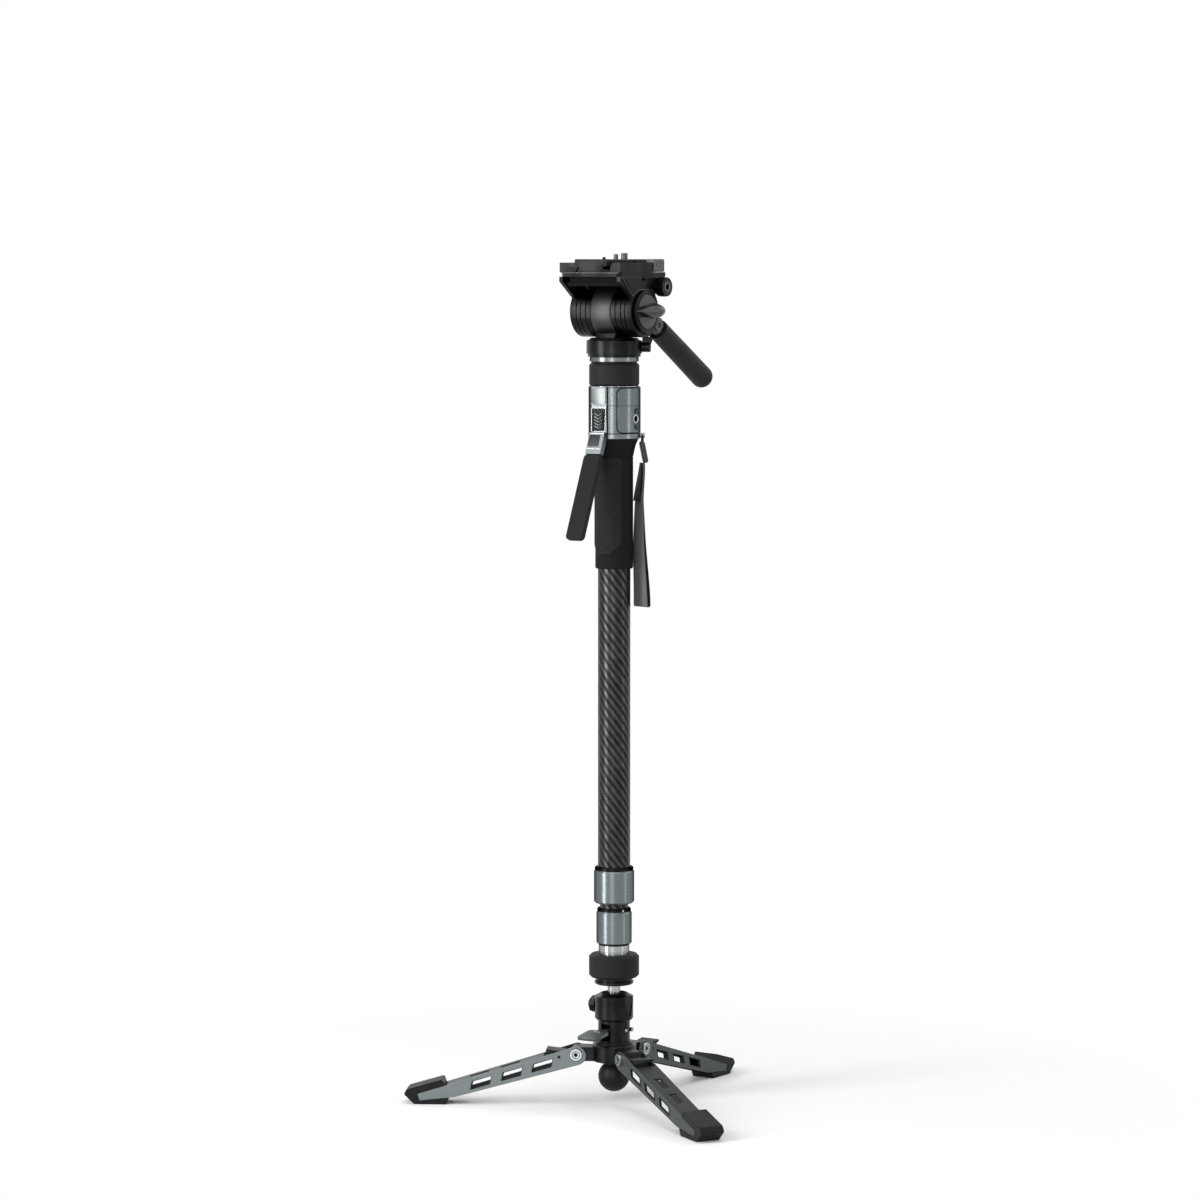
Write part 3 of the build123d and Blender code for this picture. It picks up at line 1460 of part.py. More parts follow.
with BuildPart() as tilt_knob:
    with BuildSketch(Plane.YZ.offset(drum_end + body_gap)):
        with Locations((0, tilt_z)):
            Circle(tilt_knob_r)
    extrude(amount=cheek_thickness + tilt_knob_disc)
    chamfer(tilt_knob.faces().sort_by(Axis.X)[-1].edges(), tilt_knob_chamfer)
    with BuildSketch(Plane.YZ.offset(scoop_x)):
        with Locations((0, tilt_z + tilt_scoop_r - tilt_scoop_share * tilt_knob_r)):
            Circle(tilt_scoop_r)
        with Locations((0, tilt_z - tilt_scoop_r + tilt_scoop_share * tilt_knob_r)):
            Circle(tilt_scoop_r, mode=Mode.INTERSECT)
    extrude(amount=tilt_scoop_depth, mode=Mode.SUBTRACT)
    add(knob_lobe.part)
save(tilt_knob.part, "tilt_knob")

# Pan handle: a socket that turns on the drum's pin, and the rubber grip on its core
with BuildPart() as handle_socket:
    with BuildSketch(Plane.YZ.offset(socket_start_x)):
        with Locations((handle_pivot_y, handle_pivot_z)):
            Circle(socket_r)
    extrude(amount=socket_width)
    with BuildSketch(handle_plane):
        Circle(socket_width / 2)
    extrude(amount=handle_start)
    with BuildSketch(handle_plane):
        Circle(handle_core_r)
    extrude(amount=handle_start + handle_length / 2)
    with BuildSketch(Plane.YZ):
        with Locations((handle_pivot_y, handle_pivot_z)):
            Circle(socket_pin_r + run_gap)
    extrude(amount=handle_x + socket_width, mode=Mode.SUBTRACT)
save(handle_socket.part, "handle_socket")

with BuildPart() as handle_grip:
    with BuildSketch(handle_plane.offset(handle_start + seat_gap)):
        Circle(handle_root_r)
    with BuildSketch(handle_plane.offset(handle_start + handle_length)):
        Circle(handle_tip_r)
    loft()
    fillet(handle_grip.edges().sort_by(Axis.Y)[-1], handle_tip_r * handle_round_share)
    with BuildSketch(handle_plane):
        Circle(handle_core_r + seat_gap)
    extrude(amount=handle_start + handle_length / 2 + seat_gap, mode=Mode.SUBTRACT)
save(handle_grip.part, "handle_grip")

# Wrist strap: a cord through the ring's eye, a buckle, and the doubled webbing that turns as it hangs
strap_out = outward(strap_azimuth)
strap_side = Vector(-strap_out.Y, strap_out.X, 0)
lean = math.radians(buckle_lean)
buckle_slot = (buckle_height - 3 * buckle_bar) / 2
buckle_slot_rise = (buckle_bar + buckle_slot) / 2
eye_r = strap_ring_r + strap_lug_reach / 2
eye_z = strap_ring_z + strap_ring_height / 2
buckle_mid_z = strap_ring_z - buckle_air - buckle_height / 2
buckle_mid = strap_out * (eye_r + buckle_slot_rise * math.sin(lean)) + Vector(0, 0, buckle_mid_z)
buckle_up = Vector(0, 0, 1) * math.cos(lean) - strap_out * math.sin(lean)
buckle_plane = Plane(origin=buckle_mid, x_dir=strap_side, z_dir=strap_side.cross(buckle_up))
loop_plane = Plane(origin=strap_out * eye_r, x_dir=strap_side, z_dir=strap_out)
loop_low_z = buckle_mid_z + buckle_slot_rise * math.cos(lean)
with BuildSketch(loop_plane) as cord_loop:
    with Locations((0, (eye_z + loop_low_z) / 2)):
        RectangleRounded(2 * cord_loop_half, eye_z - loop_low_z, cord_bend)
cord_path = cord_loop.sketch.faces()[0].outer_wire()
cord_start = Plane(origin=cord_path @ 0, z_dir=cord_path % 0)
with BuildPart() as strap_cord:
    with BuildSketch(cord_start):
        Circle(cord_r)
    sweep(path=cord_path)
save(strap_cord.part, "strap_cord")

with BuildPart() as strap_buckle:
    with BuildSketch(buckle_plane):
        RectangleRounded(buckle_width, buckle_height, buckle_bar)
        with GridLocations(0, 2 * buckle_slot_rise, 1, 2):
            Rectangle(buckle_width - 2 * buckle_bar, buckle_slot, mode=Mode.SUBTRACT)
    extrude(amount=buckle_thickness / 2, both=True)
    with BuildSketch(cord_start):
        Circle(cord_r + seat_gap)
    sweep(path=cord_path, mode=Mode.SUBTRACT)
save(strap_buckle.part, "strap_buckle")

buckle_low_z = buckle_mid_z - (buckle_height * math.cos(lean) + buckle_thickness * math.sin(lean)) / 2
with BuildPart() as strap_webbing:
    for place, turn, swing in zip(webbing_place_shares, webbing_turns, webbing_swings):
        middle = strap_out * strap_r + strap_side * swing
        face_out = outward(strap_azimuth - turn)
        with BuildSketch(
            Plane(
                origin=(middle.X, middle.Y, buckle_low_z - seat_gap - webbing_length * place),
                x_dir=(-face_out.Y, face_out.X, 0),
                z_dir=(0, 0, 1),
            )
        ):
            Rectangle(webbing_width, webbing_thickness)
    loft()
save(strap_webbing.part, "strap_webbing")
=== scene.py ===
# %% [markdown]
# A camera monopod: three folding feet, a ball joint with a pedal, telescoping carbon tubes, a squeeze grip,
# and a fluid head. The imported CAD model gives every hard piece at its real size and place. This lesson
# dresses those pieces with procedural finishes, and models what a drawing can't hold: the foam grip, the
# wrist strap, and the small raised and sunk details of the mouldings.

import math

import bpy
from mathutils import Matrix, Vector


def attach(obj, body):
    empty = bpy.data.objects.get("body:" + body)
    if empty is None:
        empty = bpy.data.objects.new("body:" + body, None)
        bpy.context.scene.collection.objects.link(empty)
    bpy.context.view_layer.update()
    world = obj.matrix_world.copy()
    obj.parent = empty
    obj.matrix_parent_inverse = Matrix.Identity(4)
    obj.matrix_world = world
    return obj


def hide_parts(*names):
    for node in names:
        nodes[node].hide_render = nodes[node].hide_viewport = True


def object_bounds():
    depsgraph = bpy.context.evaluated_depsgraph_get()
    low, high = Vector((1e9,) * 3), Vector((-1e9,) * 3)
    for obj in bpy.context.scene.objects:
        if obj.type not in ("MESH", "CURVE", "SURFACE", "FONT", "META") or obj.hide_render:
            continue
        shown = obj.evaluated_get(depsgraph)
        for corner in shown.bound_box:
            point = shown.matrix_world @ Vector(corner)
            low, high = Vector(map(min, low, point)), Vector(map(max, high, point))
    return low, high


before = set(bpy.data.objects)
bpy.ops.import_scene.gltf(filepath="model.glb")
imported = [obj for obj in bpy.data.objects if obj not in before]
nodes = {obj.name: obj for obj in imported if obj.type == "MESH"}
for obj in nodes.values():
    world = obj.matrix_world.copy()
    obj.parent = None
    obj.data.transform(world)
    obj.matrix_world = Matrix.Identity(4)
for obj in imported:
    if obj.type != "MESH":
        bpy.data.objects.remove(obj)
cad_low, cad_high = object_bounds()
print("CAD box in metres", [round(x, 4) for x in cad_low], [round(x, 4) for x in cad_high])

mm = 0.001  # lengths below are written in millimetres and multiplied by this

# %% [markdown]
# The photograph was taken with a long lens from about the height of the head, so the picture is nearly an
# elevation. The lens and the distance follow from how fast the pieces shrink down the column. The camera
# comes first, because every later piece is seen through it.

# %% Camera at the photograph's angle
sensor = 36.0
frame_px = 1200.0
focal_px = 4240.0  # the focal length, counted in the photograph's pixels
axis_px = 614.2  # where the column stands across the photograph
view_azimuth = math.radians(33.5)
view_pitch = math.radians(4.585)
camera_distance = 4155 * mm
camera_height = 835 * mm

camera_data = bpy.data.cameras.new("camera")
camera_data.sensor_width = sensor
camera_data.lens = sensor * focal_px / frame_px
camera = bpy.data.objects.new("camera", camera_data)
bpy.context.scene.collection.objects.link(camera)
view_right = Vector((math.cos(view_azimuth), math.sin(view_azimuth), 0))
view_back = Vector((math.sin(view_azimuth), -math.cos(view_azimuth), 0))
side_step = (axis_px - frame_px / 2) / focal_px * camera_distance
camera.location = view_back * camera_distance - view_right * side_step + Vector((0, 0, camera_height))
camera.rotation_euler = (math.pi / 2 - view_pitch, 0, view_azimuth)
bpy.context.scene.camera = camera
bpy.context.scene.view_settings.view_transform = "Standard"
print("lens", round(camera_data.lens, 1), "mm")

# %% [markdown]
# A product shot of dark and satin metal needs large soft lights, because polished cylinders show the lamps
# themselves as bands. A broad panel stands in front, and a narrower, stronger one on the left draws the
# bright band down the tubes. A thin strip lights the housing, another the right edge, one panel hangs above
# and two stand behind. Each lamp is placed on a circle round the column, by its azimuth.

# %% Lamps
def place_lamp(name, azimuth, height, distance, width, tall, watts, aim=(0, 0, 0.42)):
    """A rectangular soft light on a circle round the column, turned to the middle of the object."""
    data = bpy.data.lights.new(name, "AREA")
    data.shape = "RECTANGLE"
    data.size = width
    data.size_y = tall
    data.energy = watts
    lamp = bpy.data.objects.new(name, data)
    bpy.context.scene.collection.objects.link(lamp)
    turn = math.radians(azimuth)
    lamp.location = (distance * math.sin(turn), -distance * math.cos(turn), height)
    lamp.rotation_euler = (lamp.location - Vector(aim)).to_track_quat("Z", "Y").to_euler()
    print(name, "shines with", watts, "W from", azimuth, "degrees")


place_lamp("front_panel", 20, 1.0, 2.6, 1.2, 1.9, 11)
place_lamp("left_panel", -26, 0.78, 1.6, 0.46, 1.5, 25, aim=(0, 0, 0.7))
place_lamp("housing_strip", 22, 0.85, 1.6, 0.06, 0.8, 3.5, aim=(0, 0, 0.8))
place_lamp("right_strip", 101, 0.78, 1.6, 0.1, 1.5, 3, aim=(0, 0, 0.7))
place_lamp("top_panel", 33, 2.6, 0.4, 1.6, 1.6, 18)
place_lamp("back_left_panel", 240, 2.0, 2.4, 0.8, 1.4, 10)
place_lamp("back_right_panel", 150, 2.0, 2.4, 0.8, 1.4, 10)

# %% [markdown]
# Every material and the world are small trees of nodes. A few helpers keep them short: one adds a node and
# sets its values, one does a step of arithmetic, one blends two colours, one moves a value to a range, one
# gives the place on a piece, and one tells the rays that are seen from the light on the object.

# %% Helpers for nodes
def add(tree, kind, inputs=None, **settings):
    """A node of a kind, its settings, and its input values or links."""
    node = tree.nodes.new("ShaderNode" + kind)
    for name, value in settings.items():
        setattr(node, name, value)
    for name, value in (inputs or {}).items():
        if isinstance(value, bpy.types.NodeSocket):
            tree.links.new(value, node.inputs[name])
        else:
            node.inputs[name].default_value = value
    return node


def maths(tree, operation, first, second=0.0, third=0.0):
    """One step of arithmetic on values or sockets."""
    return add(tree, "Math", {0: first, 1: second, 2: third}, operation=operation).outputs[0]


def blend_colours(tree, share, low, high):
    """A colour between two, by a share."""
    inputs = {0: share}
    for index, value in ((6, low), (7, high)):
        inputs[index] = value if isinstance(value, bpy.types.NodeSocket) else (*value, 1)
    return add(tree, "Mix", inputs, data_type="RGBA").outputs[2]


def ranged(tree, value, low, high, to_low, to_high):
    """A value taken from one range to another, and held there."""
    limits = {"From Min": low, "From Max": high, "To Min": to_low, "To Max": to_high}
    return add(tree, "MapRange", {"Value": value, **limits}).outputs["Result"]


def places(tree):
    """Object coordinates, which stay with the piece."""
    return add(tree, "TexCoord").outputs["Object"]


def seen_rays(tree):
    """1 for rays that the camera sees, straight, in a mirror or through glass, and 0 for all others."""
    rays = add(tree, "LightPath").outputs
    seen = maths(tree, "MAXIMUM", rays["Is Camera Ray"], rays["Is Glossy Ray"])
    return maths(tree, "MAXIMUM", seen, rays["Is Transmission Ray"])


# %% [markdown]
# The background is white to the camera and in mirrors, but as a light on the object it would wash out the
# lamps' bands. So its strength is 1 for the rays that are seen and less for all others.

# %% World
seen_level, lit_level = 1.0, 0.4
world = bpy.data.worlds.new("studio")
bpy.context.scene.world = world
world.use_nodes = True
background = world.node_tree.nodes["Background"]
background.inputs["Color"].default_value = (1, 1, 1, 1)
strength = ranged(world.node_tree, seen_rays(world.node_tree), 0, 1, lit_level, seen_level)
world.node_tree.links.new(strength, background.inputs["Strength"])
print("world gives", lit_level, "as light and", seen_level, "as background")

# %% [markdown]
# Every finish is a Principled shader with a few nodes in front of it, and all of them read Object
# coordinates, which stay with the piece, or the piece's UV map. One helper makes a noise at a real size, one
# spreads the highlight of turned metal, one adds bumps and one finds the edges.

# %% Helpers for finishes
def speckle(tree, size_mm, detail=3.0, stretch=(1, 1, 1)):
    """Noise whose grains are about a size in millimetres, stretched along the axes."""
    scaled = add(tree, "Mapping", {"Vector": places(tree), "Scale": stretch}).outputs["Vector"]
    noise = add(tree, "TexNoise", {"Vector": scaled, "Scale": 1 / (size_mm * mm), "Detail": detail})
    return noise.outputs["Fac"]


def new_finish(name, **plain):
    """A material, its node tree and its shader, with plain values set on the shader's sockets."""
    material = bpy.data.materials.new(name)
    material.use_nodes = True
    tree = material.node_tree
    shader = tree.nodes["Principled BSDF"]
    for socket, value in plain.items():
        shader.inputs[socket.replace("_", " ")].default_value = value
    return material, tree, shader


def set_input(tree, shader, name, socket):
    """Links a socket to the shader."""
    tree.links.new(socket, shader.inputs[name])


def lathe_spread(tree, shader, share, turn_axis):
    """Lathe rings spread a highlight along the axis that the piece was turned about."""
    from_to = {"convert_from": "OBJECT", "convert_to": "WORLD"}
    way = add(tree, "VectorTransform", {"Vector": turn_axis}, vector_type="VECTOR", **from_to)
    set_input(tree, shader, "Tangent", way.outputs["Vector"])
    shader.inputs["Anisotropic"].default_value = share


def soften(tree, shader, height, depth_mm, edge_mm=0.35):
    """Bumps by a height, over edges that the bevel node rounds by a small radius."""
    rounded = add(tree, "Bevel", {"Radius": edge_mm * mm}, samples=4).outputs["Normal"]
    bump = add(tree, "Bump", {"Height": height, "Distance": depth_mm * mm, "Normal": rounded})
    set_input(tree, shader, "Normal", bump.outputs["Normal"])


def edge_share(tree, edge_mm=0.5):
    """How close a point is to a sharp edge: 0 on a face, 1 at the edge."""
    rounded = add(tree, "Bevel", {"Radius": edge_mm * mm}, samples=4).outputs["Normal"]
    flat = add(tree, "NewGeometry").outputs["Normal"]
    across = add(tree, "VectorMath", {0: rounded, 1: flat}, operation="DOT_PRODUCT").outputs["Value"]
    return ranged(tree, maths(tree, "SUBTRACT", 1.0, across), 0.02, 0.3, 0, 1)


# %% [markdown]
# Painted and anodised metal: the colour is nearly even, but the gloss isn't, and the edges go lighter, partly
# where hands and bags rub them and partly as a painted highlight along them. So one fine speckle drives
# roughness and a faint bump, and the edge share lifts the colour.
# On the drums, the base and the hub the highlight spreads along the axis that they were turned about.

# %% Painted metal
along_tilt_axis, up_column = (1, 0, 0), (0, 0, 1)


def painted(name, colour, roughness, edge_colour, grain_mm=0.5, wear_and_highlight=0.7, turn_axis=None):
    """Fine satin paint over metal, a little lighter along its edges: rubbing, and a painted highlight."""
    material, tree, shader = new_finish(name, Metallic=1.0)
    grain = speckle(tree, grain_mm)
    cloud = speckle(tree, 25, 2)
    dust = blend_colours(tree, ranged(tree, cloud, 0.35, 0.7, 0, 0.25), colour, edge_colour)
    # lighter edges: partly rubbing, partly a painted highlight along them
    edge_wear_and_highlight = maths(tree, "MULTIPLY", edge_share(tree), wear_and_highlight)
    set_input(tree, shader, "Base Color", blend_colours(tree, edge_wear_and_highlight, dust, edge_colour))
    set_input(tree, shader, "Roughness", ranged(tree, grain, 0.3, 0.7, roughness - 0.05, roughness + 0.07))
    if turn_axis:
        lathe_spread(tree, shader, 0.7, turn_axis)
    soften(tree, shader, grain, 0.02)
    return material


# the blacks' edge colour, for rubbing and for a painted highlight along the edges
wear_and_highlight_black = (0.06, 0.061, 0.063)
head_black = painted("head_black", (0.005, 0.005, 0.0053), 0.38, (0.07, 0.071, 0.073), wear_and_highlight=0.5)
drum_black = painted("drum_black", (0.012, 0.012, 0.0125), 0.34, wear_and_highlight_black, 0.5, 0.4, along_tilt_axis)
base_black = painted("base_black", (0.011, 0.011, 0.0115), 0.38, wear_and_highlight_black, 0.5, 0.4, up_column)
hub_black = painted("hub_black", (0.012, 0.012, 0.0125), 0.38, (0.06, 0.062, 0.065), 0.5, 0.5, up_column)
body_grey = painted("body_grey", (0.042, 0.043, 0.045), 0.45, (0.1, 0.102, 0.105), 0.8)
knob_grey = painted("knob_grey", (0.06, 0.06, 0.062), 0.4, (0.14, 0.14, 0.145))
leaf_grey = painted("leaf_grey", (0.07, 0.07, 0.072), 0.34, (0.08, 0.08, 0.082), wear_and_highlight=0.0)
pedal_grey = painted("pedal_grey", (0.065, 0.074, 0.074), 0.4, (0.32, 0.35, 0.35), wear_and_highlight=0.9)
block_grey = painted("block_grey", (0.07, 0.075, 0.083), 0.34, (0.2, 0.21, 0.22))
rib_grey = painted("rib_grey", (0.1, 0.105, 0.11), 0.25, (0.25, 0.26, 0.27))

# %% [markdown]
# Turned alloy: a lathe leaves rings so fine that they only spread the highlight up and down. Noise that is
# squeezed along the column gives them. The housing has the same alloy, bead blasted, so its grain is round.
# The two collars are black at their upper ends, so their finish changes with the height there.

# %% Bare and satin metals
def alloy(name, colour, roughness, rings=True, black_bands=()):
    """Satin metal with lathe rings or with a blasted grain, and black between some heights."""
    material, tree, shader = new_finish(name, Metallic=1.0, Specular_Tint=(0.2, 0.21, 0.22, 1))
    grain = speckle(tree, 0.35, 4, (0.05, 0.05, 1) if rings else (1, 1, 1))
    cloud = speckle(tree, 30, 2)
    bare = blend_colours(tree, cloud, tuple(0.88 * c for c in colour), colour)
    for low, high in black_bands:
        height = add(tree, "SeparateXYZ", {"Vector": places(tree)}).outputs["Z"]
        above = ranged(tree, height, (low - 0.05) * mm, (low + 0.05) * mm, 0, 1)
        below = ranged(tree, height, (high - 0.05) * mm, (high + 0.05) * mm, 1, 0)
        bare = blend_colours(tree, maths(tree, "MULTIPLY", above, below), bare, (0.012, 0.012, 0.013))
    set_input(tree, shader, "Base Color", bare)
    set_input(tree, shader, "Roughness", ranged(tree, grain, 0.3, 0.7, roughness - 0.05, roughness + 0.06))
    lathe_spread(tree, shader, 0.8, up_column)
    soften(tree, shader, grain, 0.008)
    return material


collar_tops = ((193.8, 197.2), (234.6, 238.2))  # heights in millimetres
collar_silver = alloy("collar_silver", (0.175, 0.196, 0.2), 0.31, black_bands=collar_tops)
silver_turned = alloy("silver_turned", (0.2, 0.22, 0.225), 0.36)
silver_blasted = alloy("silver_blasted", (0.165, 0.185, 0.19), 0.34, rings=False)
silver_pad = alloy("silver_pad", (0.235, 0.253, 0.253), 0.5, rings=False)
silver_bright = alloy("silver_bright", (0.55, 0.57, 0.58), 0.28)
fitting_silver = alloy("fitting_silver", (0.4, 0.42, 0.43), 0.25)
screw_steel = alloy("screw_steel", (0.12, 0.122, 0.125), 0.3)
steel = alloy("steel", (0.42, 0.43, 0.44), 0.2)

# %% [markdown]
# Rubber and moulded plastic are dark and rough. What tells them apart is the size of the grain and how
# strongly it stands out, so one function makes the feet, the lock rings, the foam and the textured paddle.

# %% Rubber, foam and moulded plastic
def moulded(name, colour, roughness, grain_mm, depth_mm, pale=1.8, edge_mm=0.4, cells=False):
    """A matte moulding with a grain, paler on its high points."""
    material, tree, shader = new_finish(name, Specular_IOR_Level=0.12)
    if cells:
        pores = add(tree, "TexVoronoi", {"Vector": places(tree), "Scale": 1 / (grain_mm * mm)})
        height = pores.outputs["Distance"]
    else:
        height = speckle(tree, grain_mm, 4)
    cloud = speckle(tree, 18, 3)
    high = tuple(pale * c for c in colour)
    raised_share = ranged(tree, height, 0.3, 0.75, 0, 1)
    share = maths(tree, "MULTIPLY", raised_share, ranged(tree, cloud, 0.3, 0.7, 0.5, 1))
    set_input(tree, shader, "Base Color", blend_colours(tree, share, colour, high))
    set_input(tree, shader, "Roughness", ranged(tree, cloud, 0.3, 0.7, roughness - 0.06, roughness + 0.06))
    soften(tree, shader, height, depth_mm, edge_mm)
    return material


foot_rubber = moulded("foot_rubber", (0.007, 0.007, 0.0075), 0.45, 0.7, 0.03)
ring_rubber = moulded("ring_rubber", (0.009, 0.009, 0.0095), 0.6, 0.5, 0.04, edge_mm=0.8)
grip_foam = moulded("grip_foam", (0.004, 0.004, 0.0043), 0.75, 0.9, 0.05, pale=2.0, cells=True)
panel_foam = moulded("panel_foam", (0.009, 0.009, 0.0094), 0.8, 1.1, 0.2, pale=2.4, cells=True)
handle_rubber = moulded("handle_rubber", (0.011, 0.011, 0.0115), 0.55, 0.6, 0.05, pale=1.6)
paddle_plastic = moulded("paddle_plastic", (0.006, 0.006, 0.0063), 0.6, 0.8, 0.12, pale=2.6)
plain_plastic = moulded("plain_plastic", (0.01, 0.01, 0.0105), 0.4, 0.5, 0.02)
buckle_plastic = moulded("buckle_plastic", (0.035, 0.035, 0.037), 0.4, 0.5, 0.02)
smooth_black = moulded("smooth_black", (0.003, 0.003, 0.0033), 0.35, 0.5, 0.01)
shade_black = moulded("shade_black", (0.0025, 0.0025, 0.0027), 0.8, 0.5, 0.01)

# %% [markdown]
# Webbing is woven of thick flat yarns. The weave is counted on the UV map, 14 yarns across and one every
# 1.3 mm along, so it follows the strip when the strap turns. The webbing is black on both sides, but the far
# half of the strip is painted grey: painted light on the far layer. The near half is black.

# %% Webbing weave
yarns_across, yarn_step = 14.0, 1.3


def weave(name, colour, lit_half_colour, length_mm):
    """Flat yarns in rows along a strip, with the far half of the strip in a lighter colour: painted light."""
    material, tree, shader = new_finish(name, Specular_IOR_Level=0.15, Roughness=0.7)
    parts = add(tree, "SeparateXYZ", {"Vector": add(tree, "UVMap").outputs["UV"]}).outputs
    along = maths(tree, "MULTIPLY", parts["Y"], length_mm / yarn_step)
    across_yarns = maths(tree, "MULTIPLY", parts["X"], yarns_across)
    offset = maths(tree, "MULTIPLY", maths(tree, "FLOOR", across_yarns), 0.5)
    ribs = maths(tree, "SINE", maths(tree, "MULTIPLY", maths(tree, "ADD", along, offset), math.tau))
    cords = maths(tree, "ABSOLUTE", maths(tree, "SINE", maths(tree, "MULTIPLY", across_yarns, math.pi)))
    height = maths(tree, "MULTIPLY_ADD", ribs, 0.35, cords)
    # the far half of the strip gets the lighter colour: painted light
    side = ranged(tree, parts["Y"], 0.49, 0.51, 0, 1)
    body = blend_colours(tree, side, colour, lit_half_colour)
    dark = blend_colours(tree, side, tuple(0.5 * c for c in colour), tuple(0.7 * c for c in lit_half_colour))
    high_share = ranged(tree, height, 0.0, 0.9, 0, 1)
    set_input(tree, shader, "Base Color", blend_colours(tree, high_share, dark, body))
    soften(tree, shader, height, 0.12, 0.3)
    return material


tail_black = (0.014, 0.014, 0.0145)
# the grey is painted light on the far layer; the webbing itself is black
webbing_weave = weave("webbing_weave", (0.012, 0.012, 0.0125), (0.13, 0.13, 0.132), 283)
tail_weave = weave("tail_weave", tail_black, tail_black, 38)

# %% [markdown]
# Carbon tube: yarns cross as a twill, and under the clear coat each yarn shines where it faces the lamp, so
# the tube shows soft diagonal bands. The bands are counted round the tube, so that they close at the seam,
# and the angle round the column comes from the arc tangent of the Object coordinates.

# %% Carbon twill
band_climb, yarns_a_band = 9.4, 6


def carbon(name, radius_mm, bands_round=14):
    """Clear-coated twill: wide diagonal bands of shine, crossed by fine yarns."""
    material, tree, shader = new_finish(name, Metallic=0.85, Specular_IOR_Level=0.15)
    parts = add(tree, "SeparateXYZ", {"Vector": places(tree)}).outputs
    turn = maths(tree, "ARCTAN2", parts["Y"], parts["X"])
    round_share = maths(tree, "DIVIDE", turn, math.tau)

    def diagonal(count, operation, climb):
        """Waves counted round the tube, which climb one way or the other."""
        steps = maths(tree, "MULTIPLY", round_share, float(count))
        phase = maths(tree, operation, steps, maths(tree, "DIVIDE", parts["Z"], climb * mm))
        return maths(tree, "SINE", maths(tree, "MULTIPLY", phase, math.tau))

    band = diagonal(bands_round, "ADD", band_climb)
    yarn = diagonal(bands_round * yarns_a_band, "SUBTRACT", band_climb / yarns_a_band)
    uneven = maths(tree, "SUBTRACT", speckle(tree, 9, 2), 0.5)
    woven = maths(tree, "ADD", maths(tree, "MULTIPLY", band, 0.45), maths(tree, "MULTIPLY", yarn, 0.2))
    shine = maths(tree, "ADD", woven, uneven)
    share = ranged(tree, shine, -0.45, 0.75, 0, 1)
    colour = blend_colours(tree, share, (0.009, 0.009, 0.0095), (0.07, 0.07, 0.072))
    set_input(tree, shader, "Base Color", colour)
    set_input(tree, shader, "Roughness", ranged(tree, shine, -0.6, 0.6, 0.42, 0.26))
    soften(tree, shader, shine, 0.03)
    print(name, "has", bands_round, "bands on", round(math.tau * radius_mm), "mm round")
    return material


main_carbon = carbon("main_carbon", 16.0)
mid_carbon = carbon("mid_carbon", 14.0, 12)
lower_carbon = carbon("lower_carbon", 12.3, 11)

# %% [markdown]
# A leg is a channel: its two side plates have a blue-grey coat, and the web between them is black. They are
# one piece of metal, so the finish is split by how far a point lies from the leg's middle plane. The
# plates of the leg that faces the lamps get a paler copy of the coat: painted light.

# %% Two-tone legs
def leg_coat(name, azimuth, plate_colour):
    """Blue-grey on the outside of the side plates, near black on the web and inside."""
    material, tree, shader = new_finish(name, Metallic=0.8, Specular_IOR_Level=0.2)
    turn = math.radians(azimuth)
    square = {0: places(tree), 1: (-math.sin(turn), math.cos(turn), 0)}
    across = add(tree, "VectorMath", square, operation="DOT_PRODUCT").outputs["Value"]
    outside = ranged(tree, maths(tree, "ABSOLUTE", across), 11.2 * mm, 11.7 * mm, 0, 1)
    grain = speckle(tree, 0.5)
    cloud = speckle(tree, 20, 2)
    plate = blend_colours(tree, cloud, tuple(0.85 * c for c in plate_colour), plate_colour)
    coat = blend_colours(tree, outside, (0.03, 0.033, 0.033), plate)
    # lighter edges: partly rubbing, partly a painted highlight along them
    leg_edge_wear_and_highlight = maths(tree, "MULTIPLY", edge_share(tree, 0.5), ranged(tree, outside, 0, 1, 0.25, 0.8))
    set_input(tree, shader, "Base Color", blend_colours(tree, leg_edge_wear_and_highlight, coat, (0.3, 0.32, 0.33)))
    set_input(tree, shader, "Roughness", ranged(tree, grain, 0.3, 0.7, 0.34, 0.46))
    soften(tree, shader, grain, 0.02, 0.4)
    return material


leg_azimuths = {"leg_1": 90, "leg_2": 210, "leg_3": 330}
coat_tone, painted_light_coat_tone = (0.075, 0.086, 0.087), (0.19, 0.215, 0.22)
leg_coats = {}
for name, azimuth in leg_azimuths.items():
    # leg_2's plates face the lamps, so they get a paler coat: painted light
    tone = painted_light_coat_tone if name == "leg_2" else coat_tone
    leg_coats[name] = leg_coat(name + "_coat", azimuth, tone)

# %% [markdown]
# Now the CAD pieces put their finishes on. The table reads like a parts list, with each finish and the pieces
# that wear it. Only the material of a piece changes, so its mesh stays as the drawing has it.

